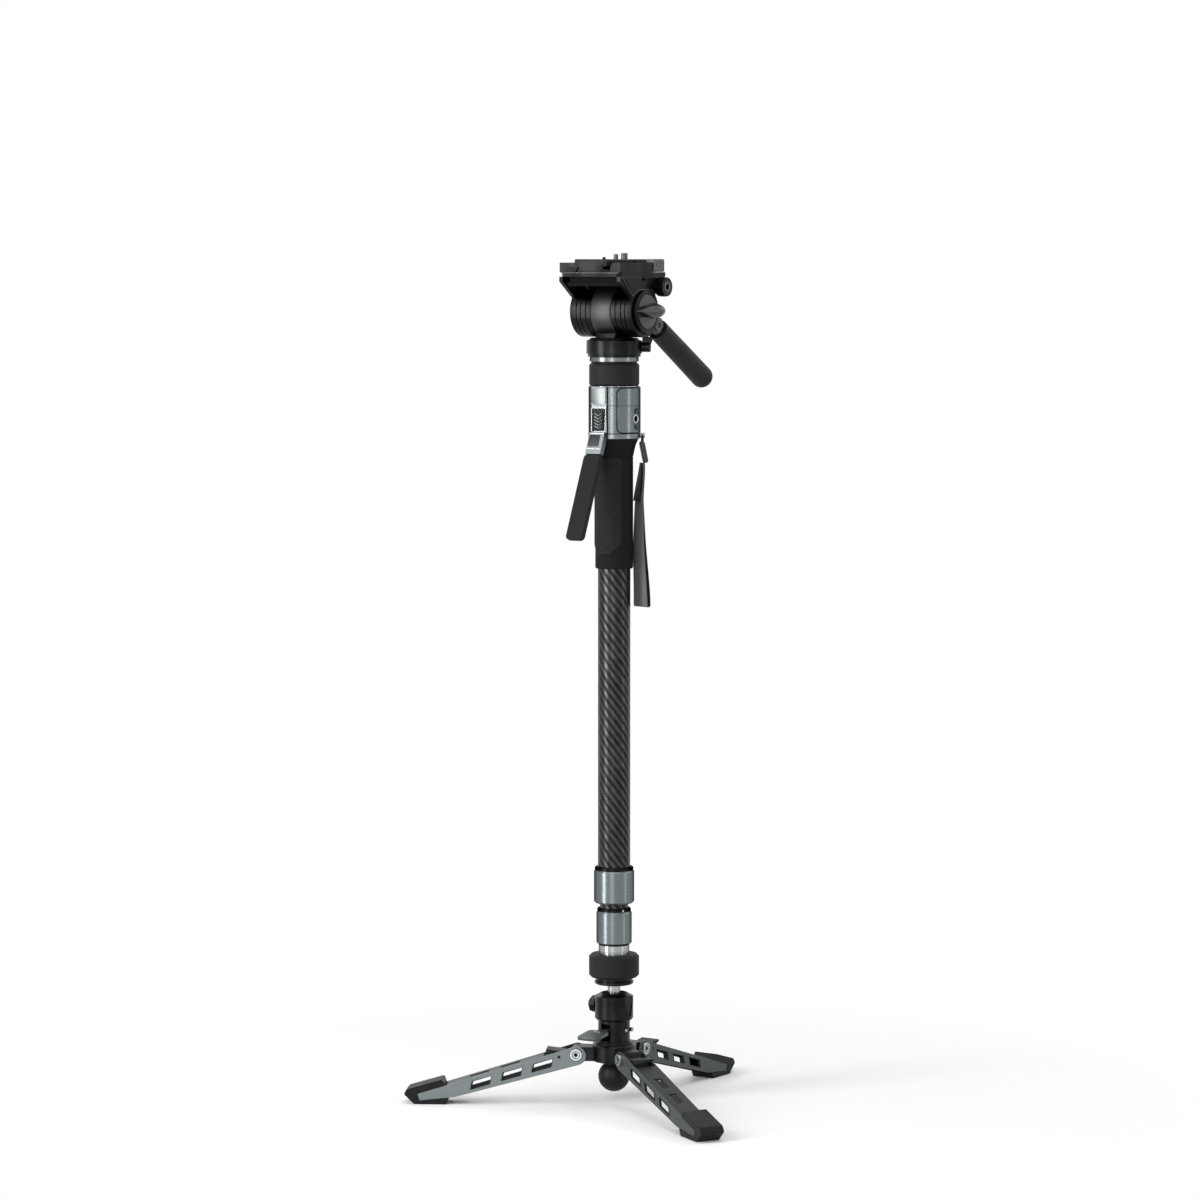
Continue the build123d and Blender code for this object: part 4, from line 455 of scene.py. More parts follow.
# %% Dress the CAD pieces
dress = {
    head_black: "tilt_yoke camera_plate pan_lock_knob clamp_jaw plate_clamp_knob",
    drum_black: "right_drum left_drum",
    base_black: "pan_base",
    hub_black: "base_hub ball_housing housing_cap ball_lock_knob stem_flange",
    body_grey: "tilt_housing",
    knob_grey: "tilt_knob",
    block_grey: "plate_release",
    pedal_grey: "pedal",
    collar_silver: "mid_collar main_collar",
    silver_turned: "head_mount strap_ring",
    silver_blasted: "housing_lower housing_upper lever_root",
    silver_bright: "leg_pivot_screws",
    fitting_silver: "end_fitting",
    screw_steel: "camera_screw locating_pin handle_socket",
    steel: "pedal_axle ball_stem tilt_axle release_rod",
    foot_rubber: "foot_1 foot_2 foot_3 ball_foot",
    ring_rubber: "base_lock_ring head_lock_ring",
    grip_foam: "grip grip_collar",
    handle_rubber: "handle_grip",
    paddle_plastic: "lever_paddle",
    plain_plastic: "latch_1 latch_2 latch_3 thumb_button strap_buckle strap_cord strap_webbing",
    smooth_black: "brake_plunger ball_seat mid_clutch main_clutch",
    main_carbon: "main_tube",
    mid_carbon: "mid_tube",
    lower_carbon: "lower_tube",
}
finishes = {name: material for material, names in dress.items() for name in names.split()}
finishes.update(leg_coats)
for name, material in finishes.items():
    nodes[name].data.materials.clear()
    nodes[name].data.materials.append(material)
print("dressed", len(finishes), "of", len(nodes), "nodes")

# %% [markdown]
# The small pieces are all made the same few ways, so the ways come first. Each takes its place from a Seat: a
# point, and the directions that are right, up and out on the face that carries it. Most faces share three
# seats on the column's axis, and the head's turned pieces share one on the tilt axis.

# %% Seats
class Seat:
    """A place on the object: a point in millimetres and the directions right, up and out."""

    def __init__(self, point, right, up):
        self.point = Vector(point)
        self.right = Vector(right).normalized()
        self.up = Vector(up).normalized()
        self.out = self.right.cross(self.up)

    def at(self, right, up, out=0.0):
        """A place on the seat, in metres."""
        return (self.point + self.right * right + self.up * up + self.out * out) * mm

    def ring(self, radius, out, count):
        """Places on a circle round the seat's point."""
        turns = [math.tau * k / count for k in range(count)]
        return [self.at(radius * math.cos(turn), radius * math.sin(turn), out) for turn in turns]


axis_x, axis_y, axis_z = (1, 0, 0), (0, 1, 0), (0, 0, 1)
front = Seat((0, 0, 0), axis_x, axis_z)
right_side = Seat((0, 0, 0), axis_y, axis_z)
top = Seat((0, 0, 0), axis_x, axis_y)
tilt_axis = Seat((0, 0, 784.8), axis_y, axis_z)
print("front faces", [round(x) for x in front.out])

# %% [markdown]
# Every operator acts on what is selected, so each way starts from nothing selected. A finished piece has its
# modifiers applied, its doubles merged and its normals turned outwards, and is told which body it rides.

# %% Finishing a piece
def deselect():
    """Object mode, with nothing selected."""
    if bpy.context.mode != "OBJECT":
        bpy.ops.object.mode_set(mode="OBJECT")
    bpy.ops.object.select_all(action="DESELECT")


def select_only(obj):
    """Object mode, with one piece selected and active."""
    deselect()
    obj.select_set(True)
    bpy.context.view_layer.objects.active = obj


def finished(obj, body, material, smooth=35):
    """Applied modifiers, outward normals, smooth shading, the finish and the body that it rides."""
    select_only(obj)
    for modifier in list(obj.modifiers):
        bpy.ops.object.modifier_apply(modifier=modifier.name)
    bpy.ops.object.mode_set(mode="EDIT")
    bpy.ops.mesh.select_all(action="SELECT")
    bpy.ops.mesh.remove_doubles(threshold=0.00001)
    bpy.ops.mesh.normals_make_consistent(inside=False)
    bpy.ops.object.mode_set(mode="OBJECT")
    bpy.ops.object.shade_smooth_by_angle(angle=math.radians(smooth))
    obj.data.materials.clear()
    obj.data.materials.append(material)
    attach(obj, body)
    return obj


# %% [markdown]
# A plate is a flat outline that is extruded and has its edges bevelled. A trim is a thin rod along a line,
# for raised edges and for grooves. A turned piece is a circle that is extruded and resized ring by ring.

# %% Plates, trims and turned pieces
def plate(name, seat, outline, thickness, edge, base=0.0):
    """A flat outline on a seat, extruded outwards, with rounded upper edges."""
    deselect()
    bpy.ops.mesh.primitive_circle_add(vertices=len(outline), radius=mm, fill_type="NGON")
    obj = bpy.context.object
    obj.name = name
    for vertex, (right, up) in zip(obj.data.vertices, outline):
        vertex.co = seat.at(right, up, base)
    bpy.ops.object.mode_set(mode="EDIT")
    bpy.ops.mesh.select_all(action="SELECT")
    bpy.ops.mesh.extrude_region_move(TRANSFORM_OT_translate={"value": seat.out * thickness * mm})
    bpy.ops.object.mode_set(mode="OBJECT")
    if edge:
        rounding = obj.modifiers.new("edges", "BEVEL")
        rounding.width = edge * mm
        rounding.segments = 3
        rounding.limit_method = "ANGLE"
    return obj


def trim(name, points, radius, closed=True, sides=3):
    """A thin rod along points that are already in metres."""
    line = bpy.data.curves.new(name, "CURVE")
    line.dimensions = "3D"
    line.bevel_depth = radius * mm
    line.bevel_resolution = sides
    line.use_fill_caps = True
    spline = line.splines.new("POLY")
    spline.points.add(len(points) - 1)
    for point, place in zip(spline.points, points):
        point.co = (*place, 1)
    spline.use_cyclic_u = closed
    obj = bpy.data.objects.new(name, line)
    bpy.context.scene.collection.objects.link(obj)
    select_only(obj)
    bpy.ops.object.convert(target="MESH")
    return bpy.context.object


def turned(name, seat, profile, segments=96, closed=False):
    """Rings of (radius, height) on a seat's out direction, with flat ends, or closed on itself."""
    deselect()
    radius, height = profile[0]
    fill = "NOTHING" if closed else "NGON"
    bpy.ops.mesh.primitive_circle_add(vertices=segments, radius=radius * mm, fill_type=fill)
    obj = bpy.context.object
    obj.name = name
    bpy.ops.object.mode_set(mode="EDIT")
    bpy.ops.mesh.select_all(action="SELECT")
    bpy.ops.transform.translate(value=(0, 0, height * mm))
    for next_radius, next_height in profile[1:]:
        if closed:
            bpy.ops.mesh.extrude_edges_move()
        else:
            bpy.ops.mesh.extrude_region_move()
        bpy.ops.transform.translate(value=(0, 0, (next_height - height) * mm))
        share = next_radius / radius
        bpy.ops.transform.resize(value=(share, share, 1))
        radius, height = next_radius, next_height
    if closed:
        bpy.ops.mesh.select_all(action="SELECT")
        bpy.ops.mesh.select_non_manifold(extend=False)
        bpy.ops.mesh.bridge_edge_loops()
    bpy.ops.object.mode_set(mode="OBJECT")
    turn = Matrix((seat.right, seat.up, seat.out)).transposed().to_4x4()
    obj.data.transform(Matrix.Translation(seat.point * mm) @ turn)
    return obj


def joined(name, pieces):
    """Several meshes made one."""
    deselect()
    for piece in pieces:
        piece.select_set(True)
    bpy.context.view_layer.objects.active = pieces[0]
    bpy.ops.object.join()
    pieces[0].name = name
    return pieces[0]


def rounded_box(half_width, low, high, corner, steps=5):
    """The outline of a box with rounded corners: half its width, its lower and its upper side."""
    points = []
    corners = (
        (half_width - corner, high - corner, 0),
        (-half_width + corner, high - corner, 90),
        (-half_width + corner, low + corner, 180),
        (half_width - corner, low + corner, 270),
    )
    for right, up, start in corners:
        for step in range(steps + 1):
            turn = math.radians(start + 90 * step / steps)
            points.append((right + corner * math.cos(turn), up + corner * math.sin(turn)))
    return points


print("a rounded box of 5 steps has", len(rounded_box(10, 0, 20, 4)), "corners")

# %% [markdown]
# The front boss of the housing carries a bare name pad, and under it a window with a black surround, in
# which the thumb button stands with chevron ribs, in a lighter grey than the button: a painted highlight. The
# pad and the surround are thin plates on the boss, and the ribs ride on the button, so that they sink with
# it.

# %% Name pad, window surround and chevron ribs
boss_out, button_out = 27.0, 28.2  # how far the boss and the button stand in front of the axis
pad_outline = [
    (8.0, 710.6), (8.0, 696.6), (7.3, 694.9), (5.6, 694.2),
    (-5.6, 694.2), (-7.3, 694.9), (-8.0, 696.6), (-8.0, 710.6),
]
name_pad = plate("name_pad", front, pad_outline, 0.7, 0.3, boss_out)
finished(name_pad, "upper_section", silver_pad)

surround_outline = [
    (-6.1, 668.2), (-6.1, 688.2), (6.1, 688.2), (6.1, 668.2), (6.9, 668.2),
    (7.8, 690.2), (7.2, 690.9), (-7.6, 690.9), (-8.2, 690.2), (-8.2, 668.2),
]
surround = plate("window_surround", front, surround_outline, 0.45, 0, boss_out)
finished(surround, "upper_section", smooth_black)
edge_corners = [(-8.4, 668.2), (-8.4, 690.4), (-7.7, 691.2), (7.4, 691.2), (8.1, 690.4), (7.2, 668.2)]
edge_line = [front.at(*corner, boss_out + 0.35) for corner in edge_corners]
window_edge = trim("window_edge", edge_line, 0.42, closed=False)
finished(window_edge, "upper_section", silver_bright)

ribs = []
for number in range(5):
    middle = 672.2 + 3.1 * number
    chevron = ((-4.6, middle + 1.7), (0, middle - 0.9), (4.6, middle + 1.7))
    points = [front.at(*corner, button_out + 0.1) for corner in chevron]
    ribs.append(trim(f"button_rib_{number}", points, 0.55, closed=False))
# the ribs are lighter than the button: painted highlight along them
finished(joined("button_ribs", ribs), "thumb_button", rib_grey)
print("housing front:", len(ribs), "chevrons")

# %% [markdown]
# The right side of the housing has a raised panel. Its border shows as a dark line beside a faint bright one:
# a black trim in the gap, painted shade, and a pale trim along the edge, a painted highlight. Both follow the
# border on the round of the shell. Inside it, a threaded bush with a bright rim sits between two keyed slots,
# whose depth is painted as black plates.

# %% Side panel border, bush ring and slots
def on_shell(radius, across, height):
    """A point on the right side of the shell, at a distance across and a height."""
    return Vector((math.sqrt(radius**2 - across**2), across, height)) * mm


border_low, border_high = 666.9, 710.4
border = [Vector(corner) for corner in rounded_box(19.6, border_low, border_high, 4.5, 6)]
border_line = []
for start, end in zip(border, border[1:] + border[:1]):
    steps = max(1, round((end - start).length / 2.5))
    border_line += [start.lerp(end, step / steps) for step in range(steps)]
gap_points = [on_shell(25.5, across * 1.008, up) for across, up in border_line]
# black trim in the gap: painted shade
finished(trim("panel_gap", gap_points, 0.58), "upper_section", smooth_black)
border_middle = (border_low + border_high) / 2
shine_points = []
for across, up in border_line:
    shine_points.append(on_shell(25.55, across * 0.955, border_middle + (up - border_middle) * 0.98))
# pale trim along the edge: painted highlight
finished(trim("panel_edge", shine_points, 0.2), "upper_section", fitting_silver)

bush_seat = Seat((24.7, 0, 680.3), axis_y, axis_z)
bush_ring = trim("bush_ring", bush_seat.ring(3.75, 0.5, 40), 0.62)
finished(bush_ring, "upper_section", silver_bright)
# the slots are black plates on the face: painted shade of their depth
slots = []
for number, middle in enumerate((-7.4, 7.4)):
    slot_outline = rounded_box(1.35, middle - 2.4, middle + 2.4, 1.3)
    slots.append(plate(f"key_slot_{number}", bush_seat, slot_outline, 0.25, 0))
finished(joined("key_slot_shades", slots), "upper_section", smooth_black)
print("panel border of", len(border_line), "points")

# %% [markdown]
# Where two pieces of the column meet, the photograph shows a dark line. Each is a black ring in the joint.
# The one over the grip stays open in front, because the lever swings there.

# %% Shadow gaps round the housing
ring_steps = 96
head_gap_profile = [(21.0, 734.5), (22.6, 734.5), (22.6, 736.2), (21.0, 736.2)]
beside_lever = [math.radians(angle) for angle in range(-63, 244, 3)]
grip_gap_line = [top.at(23.9 * math.cos(turn), 23.9 * math.sin(turn), 660.9) for turn in beside_lever]
dark_rings = [
    turned("head_gap", top, head_gap_profile, ring_steps, closed=True),
    trim("gap_under_shell", top.ring(25.1, 666.0, ring_steps), 0.5),
    trim("gap_over_grip", grip_gap_line, 0.5, closed=False),
    trim("gap_over_shell", top.ring(24.9, 711.1, ring_steps), 0.45),
]
for dark_ring in dark_rings:
    finished(dark_ring, "upper_section", smooth_black)
shell_shine = trim("shine_over_shell", top.ring(24.2, 711.9, ring_steps), 0.45)
finished(shell_shine, "upper_section", silver_bright)
print("gap over the grip covers", math.degrees(beside_lever[-1] - beside_lever[0]), "degrees")

# %% [markdown]
# The lever's metal root has a dark inlay between two bright edges, where the finger slides onto it. The inlay
# is a thin plate on the sloping face, so its seat is the lever's own frame.

# %% Lever inlay and edge
slant = math.radians(22.5)
lever_down = Vector((0, -math.sin(slant), -math.cos(slant)))
lever_face = Seat((0, -30.3, 667.1), axis_x, -lever_down)
inlay_outline = [
    (-7.9, -13.2), (-6.9, -14.2), (3.6, -14.2), (4.6, -13.2),
    (4.6, -2.6), (3.9, -2.0), (-7.4, -2.0), (-7.9, -2.6),
]
lever_inlay = plate("lever_inlay", lever_face, inlay_outline, 0.35, 0.15)
finished(lever_inlay, "squeeze_lever", body_grey)
for name, height, out, thickness in (("lever_lip", -0.5, 0.1, 0.6), ("lever_step", -16.4, 0.0, 0.4)):
    ends = [lever_face.at(-8.2, height, out), lever_face.at(8.2, height, out)]
    lever_edge = trim(name, ends, thickness, closed=False)
    finished(lever_edge, "squeeze_lever", silver_bright)
print("lever root leans", round(math.degrees(slant), 1), "degrees")

# %% [markdown]
# The head's middle is a barrel between the two drums. It is turned round the tilt axis and swells a little
# towards the middle, so light rolls off it. The foot under it stands on a deck on the pan base.

# %% Barrel
barrel_half, end_radius, rim_radius, swell_rise = 11.9, 24.6, 25.3, 1.3
swell = [(rim_radius + swell_rise * math.cos(math.pi * x / 24) ** 0.8, x) for x in range(-11, 12)]
barrel_profile = [(end_radius, -barrel_half)] + swell + [(end_radius, barrel_half)]
barrel = turned("barrel", tilt_axis, barrel_profile)
finished(barrel, "pan", body_grey)
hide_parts("tilt_housing")
foot_outline = [(-17.0, 757.2), (17.0, 757.2), (15.0, 766.0), (-15.0, 766.0)]
barrel_foot = plate("barrel_foot", right_side, foot_outline, 23.0, 0.6, -11.5)
deck = turned("deck", top, [(24.6, 756.0), (24.6, 757.6), (22.6, 759.3)])
finished(joined("barrel_foot", [barrel_foot, deck]), "pan", base_black)
print("barrel", [round(s / mm, 1) for s in barrel.dimensions])

# %% [markdown]
# The tilt knob is a disc with two paler half-moon faces, and across it lies a leaf that the thumb pushes:
# thin and sharp at one end, full and round at the other. The leaf starts as a sphere that is stretched and
# then drawn in towards its thin end. Together they stand for the plain knob of the CAD model.

# %% Tilt knob
disc_profile = [
    (18.8, 36.0), (20.2, 36.0), (20.6, 36.5), (20.6, 38.0), (20.0, 38.7),
    (18.6, 38.9), (18.0, 38.4), (17.4, 38.4), (17.0, 38.7),
]
disc = turned("knob_disc", tilt_axis, disc_profile)
finished(disc, "tilt_knob", head_black)
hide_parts("tilt_knob")
moon_radius, moon_out = 16.6, 38.5
arc = [math.radians(angle) for angle in range(18, 163, 6)]
moons = []
for flip in (1, -1):
    outline = [(moon_radius * math.cos(a), flip * moon_radius * math.sin(a)) for a in arc[::flip]]
    moons.append(plate(f"knob_moon_{flip}", tilt_axis, outline, 0.9, 0.3, moon_out))
finished(joined("knob_moons", moons), "tilt_knob", knob_grey)

deselect()
bpy.ops.mesh.primitive_uv_sphere_add(segments=48, ring_count=32, radius=1)
leaf = bpy.context.object
leaf.name = "knob_leaf"
leaf_middle = Vector((38.8, 1.8, 785.6))
leaf_half, leaf_tall, leaf_out, leaf_back = 22.6, 8.4, 13.2, 0.6
for vertex in leaf.data.vertices:
    along = vertex.co.y
    full = 0.5 + 0.5 * math.sin(math.pi * (min(max((along + 1) / 1.55, 0), 1) - 0.5))
    tall = (0.16 + 0.84 * full) * leaf_tall
    out = (0.25 + 0.75 * full) * (leaf_out if vertex.co.x > 0 else leaf_back)
    vertex.co = (leaf_middle + Vector((out * vertex.co.x, leaf_half * along, tall * vertex.co.z))) * mm
finished(leaf, "tilt_knob", leaf_grey, 75)
print("knob spans", [round(s / mm, 1) for s in disc.dimensions])

# %% [markdown]
# The yoke's cheeks are cast with a sunk middle and a raised rim, which keeps them light and stiff. The rim is
# a trim along the cheek's outline in a lighter grey, a painted highlight, and a dark plate over the middle is
# painted shade of the sunk part. The bed's front edge is a fine grey line, a painted highlight, and
# near-black webs under the bed, painted shade, keep the floor's white from showing between it and the drums.

# %% Cheek rim and bed
right_cheek = Seat((35.5, 0, 0), axis_y, axis_z)
rim_line = [
    (-41.5, 817.5), (-22.0, 800.2), (-12.0, 806.0), (12.0, 806.0),
    (16.0, 803.0), (30.0, 814.0), (36.0, 817.5),
]
# a lighter grey than the yoke: painted highlight along the rim
cheek_rim = trim("cheek_rim", [right_cheek.at(*corner, 0.1) for corner in rim_line], 0.9)
finished(cheek_rim, "tilt", body_grey)
sunk = [(-33.0, 815.0), (-22.5, 805.5), (-13.0, 809.0), (11.0, 809.0), (22.0, 812.0), (25.0, 815.0)]
# a black plate on the cheek: painted shade of the sunk middle
cheek_shade = plate("cheek_shade", right_cheek, sunk, 0.2, 0)
finished(cheek_shade, "tilt", smooth_black)
edge_half, edge_height, edge_out = 33.5, 822.6, 43.5
edge_ends = [front.at(-edge_half, edge_height, edge_out), front.at(edge_half, edge_height, edge_out)]
# a grey line along the edge: painted highlight
bed_edge_highlight = trim("bed_edge_highlight", edge_ends, 0.45, closed=False)
finished(bed_edge_highlight, "tilt", block_grey)

# near-black webs: painted shade under the bed
web_top = plate("web_top", top, rounded_box(30.8, -36.0, 30.0, 4.0), 6.0, 0.6, 813.2)
web_front = plate("web_front", front, rounded_box(30.0, 809.6, 814.0, 1.0), 3.0, 0.5, 34.0)
finished(joined("bed_web", [web_top, web_front]), "tilt", shade_black)
print("bed edge", 2 * edge_half, "mm long")

# %% [markdown]
# The release block and the clamp knob carry ribs for the fingers. Each rib is a short trim, and the knob's
# end has a ring round its socket.

# %% Ribs and knurls
block_side = Seat((36.0, 26.0, 829.7), axis_y, axis_z)
block_ribs = []
for number in range(7):
    across = -7.5 + 2.5 * number
    rib_ends = [block_side.at(across, -5.2), block_side.at(across, 5.2)]
    block_ribs.append(trim(f"rib_{number}", rib_ends, 0.55, closed=False))
finished(joined("release_ribs", block_ribs), "plate_release", rib_grey)

clamp_axis = Seat((35.8, 26.0, 808.8), axis_y, axis_z)
knurls = []
for number, ends in enumerate(zip(clamp_axis.ring(9.0, 1.2, 24), clamp_axis.ring(9.0, 8.6, 24))):
    knurls.append(trim(f"knurl_{number}", ends, 0.55, closed=False, sides=1))
finished(joined("clamp_knurls", knurls), "plate_clamp_knob", head_black)
clamp_ring = trim("clamp_ring", clamp_axis.ring(4.3, 9.2, 32), 0.5)
finished(clamp_ring, "plate_clamp_knob", silver_turned)
print("knurls", len(knurls), "ribs", len(block_ribs))

# %% [markdown]
# Each side plate of a leg has three slanted slots with rolled rims, and the pivot screw's head has a dark
# ring and a hexagonal socket with a dark disc in it, painted shade. Every rim is a trim, and each leg's rims
# are joined to one piece. A leg has its own frame, in which right runs down the leg, so the same places serve
# all three legs. The marks on the screws ride the base, because the screws stay when a leg folds.

# %% Slot rims and pivot marks
leg_slope = math.radians(16.35)
pivot_radius, pivot_height, plate_out = 37.0, 51.5, 12.0
slot_middles, slot_drop = (35.5, 67.0, 99.0), -1.6
slot_corners = [(-12.2, 3.7), (8.0, 3.7), (12.2, -3.7), (-8.0, -3.7)]
mark_profile = [(3.3, 2.8), (3.3, 3.1), (4.0, 3.1), (4.0, 2.8)]
socket_shade_profile = [(2.05, 1.2), (2.05, 1.5)]


def leg_seat(azimuth, side):
    """The outer face of a leg's side plate: right runs down the leg from the pivot, out is away from it."""
    turn = math.radians(azimuth)
    outward = Vector((math.cos(turn), math.sin(turn), 0))
    along = outward * math.cos(leg_slope) - Vector((0, 0, math.sin(leg_slope)))
    square = outward * math.sin(leg_slope) + Vector((0, 0, math.cos(leg_slope)))
    across = Vector((-math.sin(turn), math.cos(turn), 0)) * side
    pivot = outward * pivot_radius + Vector((0, 0, pivot_height))
    seat = Seat(pivot + across * plate_out, along, square)
    seat.out = across
    return seat


for name, azimuth in leg_azimuths.items():
    rims, marks = [], []
    for side in (1, -1):
        seat = leg_seat(azimuth, side)
        for middle in slot_middles:
            line = [seat.at(middle + along, slot_drop + up, -0.1) for along, up in slot_corners]
            rims.append(trim(f"rim_{side}_{middle}", line, 0.5, sides=2))
        marks.append(turned(f"ring_{side}", seat, mark_profile, 32, closed=True))
        # a dark hexagonal disc in the socket: painted shade
        marks.append(turned(f"socket_{side}", seat, socket_shade_profile, 6))
    finished(joined(f"slot_rims_{name[-1]}", rims), name, smooth_black)
    finished(joined(f"pivot_marks_{name[-1]}", marks), "base", smooth_black)
print("slot rims on", len(leg_azimuths), "legs")

# %% [markdown]
# Small screws hold the collars' bands, the hub's neck and the clamp of the ball. A screw is a turned head
# with a rounded edge and a sunk socket, on a seat that faces away from the column.

# %% Screws on round walls
def seat_round(azimuth, radius, height):
    """A seat on a round wall: out is away from the axis."""
    turn = math.radians(azimuth)
    place = (radius * math.cos(turn), radius * math.sin(turn), height)
    return Seat(place, (-math.sin(turn), math.cos(turn), 0), axis_z)


def screw(name, seat, radius, body, material=silver_bright):
    """A small round-edged head with a socket."""
    rounded = [(radius, -0.3), (radius, 0.3 * radius), (0.85 * radius, 0.45 * radius)]
    socket = [(0.5 * radius, 0.45 * radius), (0.42 * radius, 0.1)]
    return finished(turned(name, seat, rounded + socket, 20), body, material)


screw("collar_screw_main", seat_round(-108, 19.3, 236.5), 0.9, "upper_section", smooth_black)
screw("collar_screw_mid", seat_round(-25, 16.9, 195.5), 0.9, "mid_section")
screw("neck_screw", seat_round(-8, 15.7, 75.5), 1.5, "base")
top_screw = screw("clamp_screw_top", seat_round(-22, 17.9, 99.5), 1.3, "base")
print("clamp screw", [round(s / mm, 1) for s in top_screw.dimensions])

# %% [markdown]
# The foam sleeve is turned with many rings, and an embossed panel stands out on its front: straight sides,
# lower corners cut off. The panel is raised by moving the vertices that lie inside its outline, with a soft
# slope, because foam has no sharp steps. The raised faces get the paler, coarser foam.

# %% Foam sleeve
def soft_step(value, low, high):
    """0 below low, 1 above high and smooth between."""
    share = min(max((value - low) / (high - low), 0), 1)
    return share * share * (3 - 2 * share)


bore, wall_radius = 16.4, 18.6
rows = [(bore, 533.2), (17.7, 533.2), (18.4, 533.9)]
rows += [(wall_radius, 534.8 + 1.5 * k) for k in range(72)]
rows += [(18.5, 642.6), (bore, 642.6)]
sleeve = turned("foam_sleeve", top, rows, 160, closed=True)

panel_half, panel_low, corner_cut, panel_rise = 15.6, 547.0, 9.0, 0.9
raised = set()
for vertex in sleeve.data.vertices:
    x, y, z = (c / mm for c in vertex.co)
    if math.hypot(x, y) < 18 or y > 0:
        continue
    side_room = panel_half - abs(x)
    foot_room = z - panel_low
    corner_room = (side_room + foot_room - corner_cut) / math.sqrt(2)
    rise = panel_rise * soft_step(min(side_room, foot_room, corner_room), -0.2, 1.0)
    if rise > 0.6:
        raised.add(vertex.index)
    share = 1 + rise / math.hypot(x, y)
    vertex.co.x *= share
    vertex.co.y *= share
finished(sleeve, "upper_section", grip_foam, 60)
sleeve.data.materials.append(panel_foam)
for face in sleeve.data.polygons:
    face.material_index = int(all(v in raised for v in face.vertices))
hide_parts("grip")
print("foam sleeve", len(sleeve.data.polygons), "faces")

# %% [markdown]
# The wrist strap is one length of webbing, looped through the buckle. Its two layers hang almost together,
# turn as they fall, and part a little before the bend at the bottom. So the line comes first: down one layer,
# round the bend and up the other.

# %% Line of the strap
strap_turn = math.radians(36.0)
strap_out = Vector((math.cos(strap_turn), math.sin(strap_turn), 0))
top_z, low_z, half_width = 636.6, 497.4, 9.7
cloth_thickness = 1.1
twist = math.radians(39)  # how far the strip turns from the buckle to the bend
near_bias, far_bias, tail_bias = 1.0, 0.6, 0.8  # how early in the fall each layer turns
swing_top, swing_in, swing_out = 28.4, 3.2, 2.3  # the loop's distance from the axis, and how it changes
top_gap, gap_growth = 0.75, 1.2  # half the room between the layers


def strap_frame(fall, bias):
    """Middle, width direction and layer direction of a layer, at a share of the fall from buckle to bend."""
    face = strap_turn + math.pi / 2 + twist * fall**bias
    width_way = Vector((math.cos(face), math.sin(face), 0))
    layer_way = Vector((-math.sin(face), math.cos(face), 0))
    swing = swing_top - swing_in * soft_step(fall, 0, 0.3) + swing_out * soft_step(fall, 0.5, 1)
    middle = strap_out * swing + Vector((0, 0, top_z - (top_z - low_z) * fall))
    return middle, width_way, layer_way


fall_steps, bend_steps = 56, 6
near, far_layer = [], []
for k in range(fall_steps + 1):
    fall = k / fall_steps
    gap = top_gap + gap_growth * math.sin(math.pi * fall / 2) ** 2
    for layer, side, bias in ((near, -1, near_bias), (far_layer, 1, far_bias)):
        middle, width_way, layer_way = strap_frame(fall, bias)
        layer.append((middle + layer_way * gap * side, width_way))
middle, width_way, layer_way = strap_frame(1, near_bias)
bend = []
for k in range(1, bend_steps):
    turn = math.pi * k / bend_steps
    round_end = layer_way * gap * math.cos(turn) + Vector((0, 0, gap * math.sin(turn)))
    bend.append((middle - round_end, width_way))
strap_line = near + bend + far_layer[::-1]

# %% [markdown]
# A strip of cloth is a grid whose rows are laid along the line, each row along its own width direction. A
# Solidify modifier gives the cloth its thickness. The tail is the same webbing, sewn to the strap's near
# side under the buckle, so it follows the same frame a little further out.

# %% Strap webbing and its tail
def strip(name, line, material, columns=10):
    """A woven strip through places and width directions, with the cloth's thickness."""
    deselect()
    bpy.ops.mesh.primitive_grid_add(x_subdivisions=columns, y_subdivisions=len(line) - 1, size=1)
    cloth = bpy.context.object
    cloth.name = name
    for number, vertex in enumerate(cloth.data.vertices):
        row, column = divmod(number, columns + 1)
        place, way = line[row]
        share = column / columns * 2 - 1
        vertex.co = (place + way * half_width * share) * mm
    thick = cloth.modifiers.new("cloth", "SOLIDIFY")
    thick.thickness = cloth_thickness * mm
    thick.offset = 0
    return finished(cloth, "upper_section", material, 60)


webbing = strip("wrist_webbing", strap_line, webbing_weave)
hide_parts("strap_webbing")

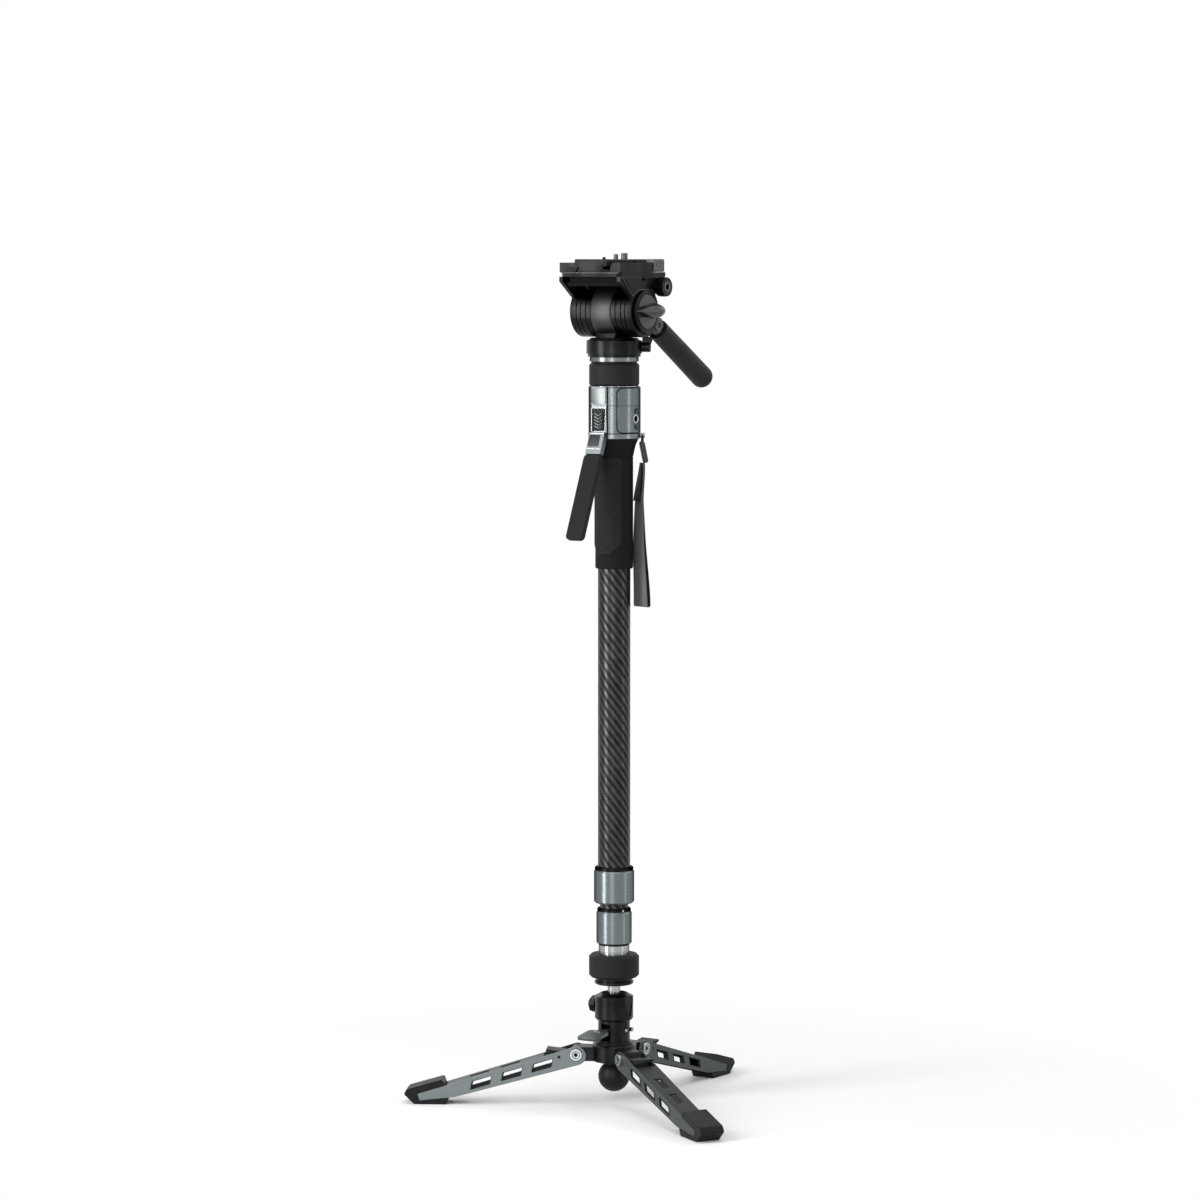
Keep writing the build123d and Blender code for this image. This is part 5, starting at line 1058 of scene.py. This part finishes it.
tail_share, tail_steps = 0.27, 20
tail_out, tail_slant = 2.3, 1.2  # how far the tail lies from the strap's middle, and how much more at its end
tail_line = []
for k in range(tail_steps + 1):
    middle, width_way, layer_way = strap_frame(tail_share * k / tail_steps, tail_bias)
    tail_line.append((middle + layer_way * (tail_out + tail_slant * k / tail_steps), width_way))
tail = strip("webbing_tail", tail_line, tail_weave)

# %% [markdown]
# The buckle is a moulded slider with full round edges. It is a thick plate with rounded corners, bevelled and
# leant like the strap, and it stands for the plain block of the CAD model.

# %% Buckle
strap_side = Vector((-math.sin(strap_turn), math.cos(strap_turn), 0))
lean = math.radians(11)
buckle_up = (Vector((0, 0, 1)) * math.cos(lean) - strap_out * math.sin(lean)).normalized()
buckle_seat = Seat(strap_out * 28.9 + Vector((0, 0, 647.3)), strap_side, buckle_up)
buckle_thickness = 5.2
buckle_outline = rounded_box(10.2, -10.6, 10.6, 3.6)
shell = plate("buckle_shell", buckle_seat, buckle_outline, buckle_thickness, 1.9, -buckle_thickness / 2)
finished(shell, "upper_section", buckle_plastic)
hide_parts("strap_buckle")
print("buckle", [round(s / mm, 1) for s in shell.dimensions])

# %% [markdown]
# The floor is a pale sheet that shows the shadows near the object. Further out it fades to the white of the
# world, for camera, mirror and glass rays only, so that no horizon line cuts the picture.

# %% Floor
deselect()
bpy.ops.mesh.primitive_plane_add(size=9)
floor = bpy.context.object
floor.name = "floor"
for vertex in floor.data.vertices:
    vertex.co.z = cad_low.z - 0.2 * mm
sheet_finish, tree, shader = new_finish("floor_sheet", Roughness=0.9, Specular_IOR_Level=0.1)
shader.inputs["Base Color"].default_value = (0.93, 0.93, 0.93, 1)
fade_from, fade_to = 0.2, 0.6  # metres from the column
away = add(tree, "VectorMath", {0: places(tree)}, operation="LENGTH")
far = ranged(tree, away.outputs["Value"], fade_from, fade_to, 0, 1)
white = add(tree, "Emission", {"Color": (1, 1, 1, 1), "Strength": 1.0}).outputs[0]
share = maths(tree, "MULTIPLY", far, seen_rays(tree))
mixed = add(tree, "MixShader", {0: share, 1: shader.outputs[0], 2: white})
tree.links.new(mixed.outputs[0], tree.nodes["Material Output"].inputs["Surface"])
floor.data.materials.append(sheet_finish)
print("floor at", round(floor.data.vertices[0].co.z / mm, 2), "mm")
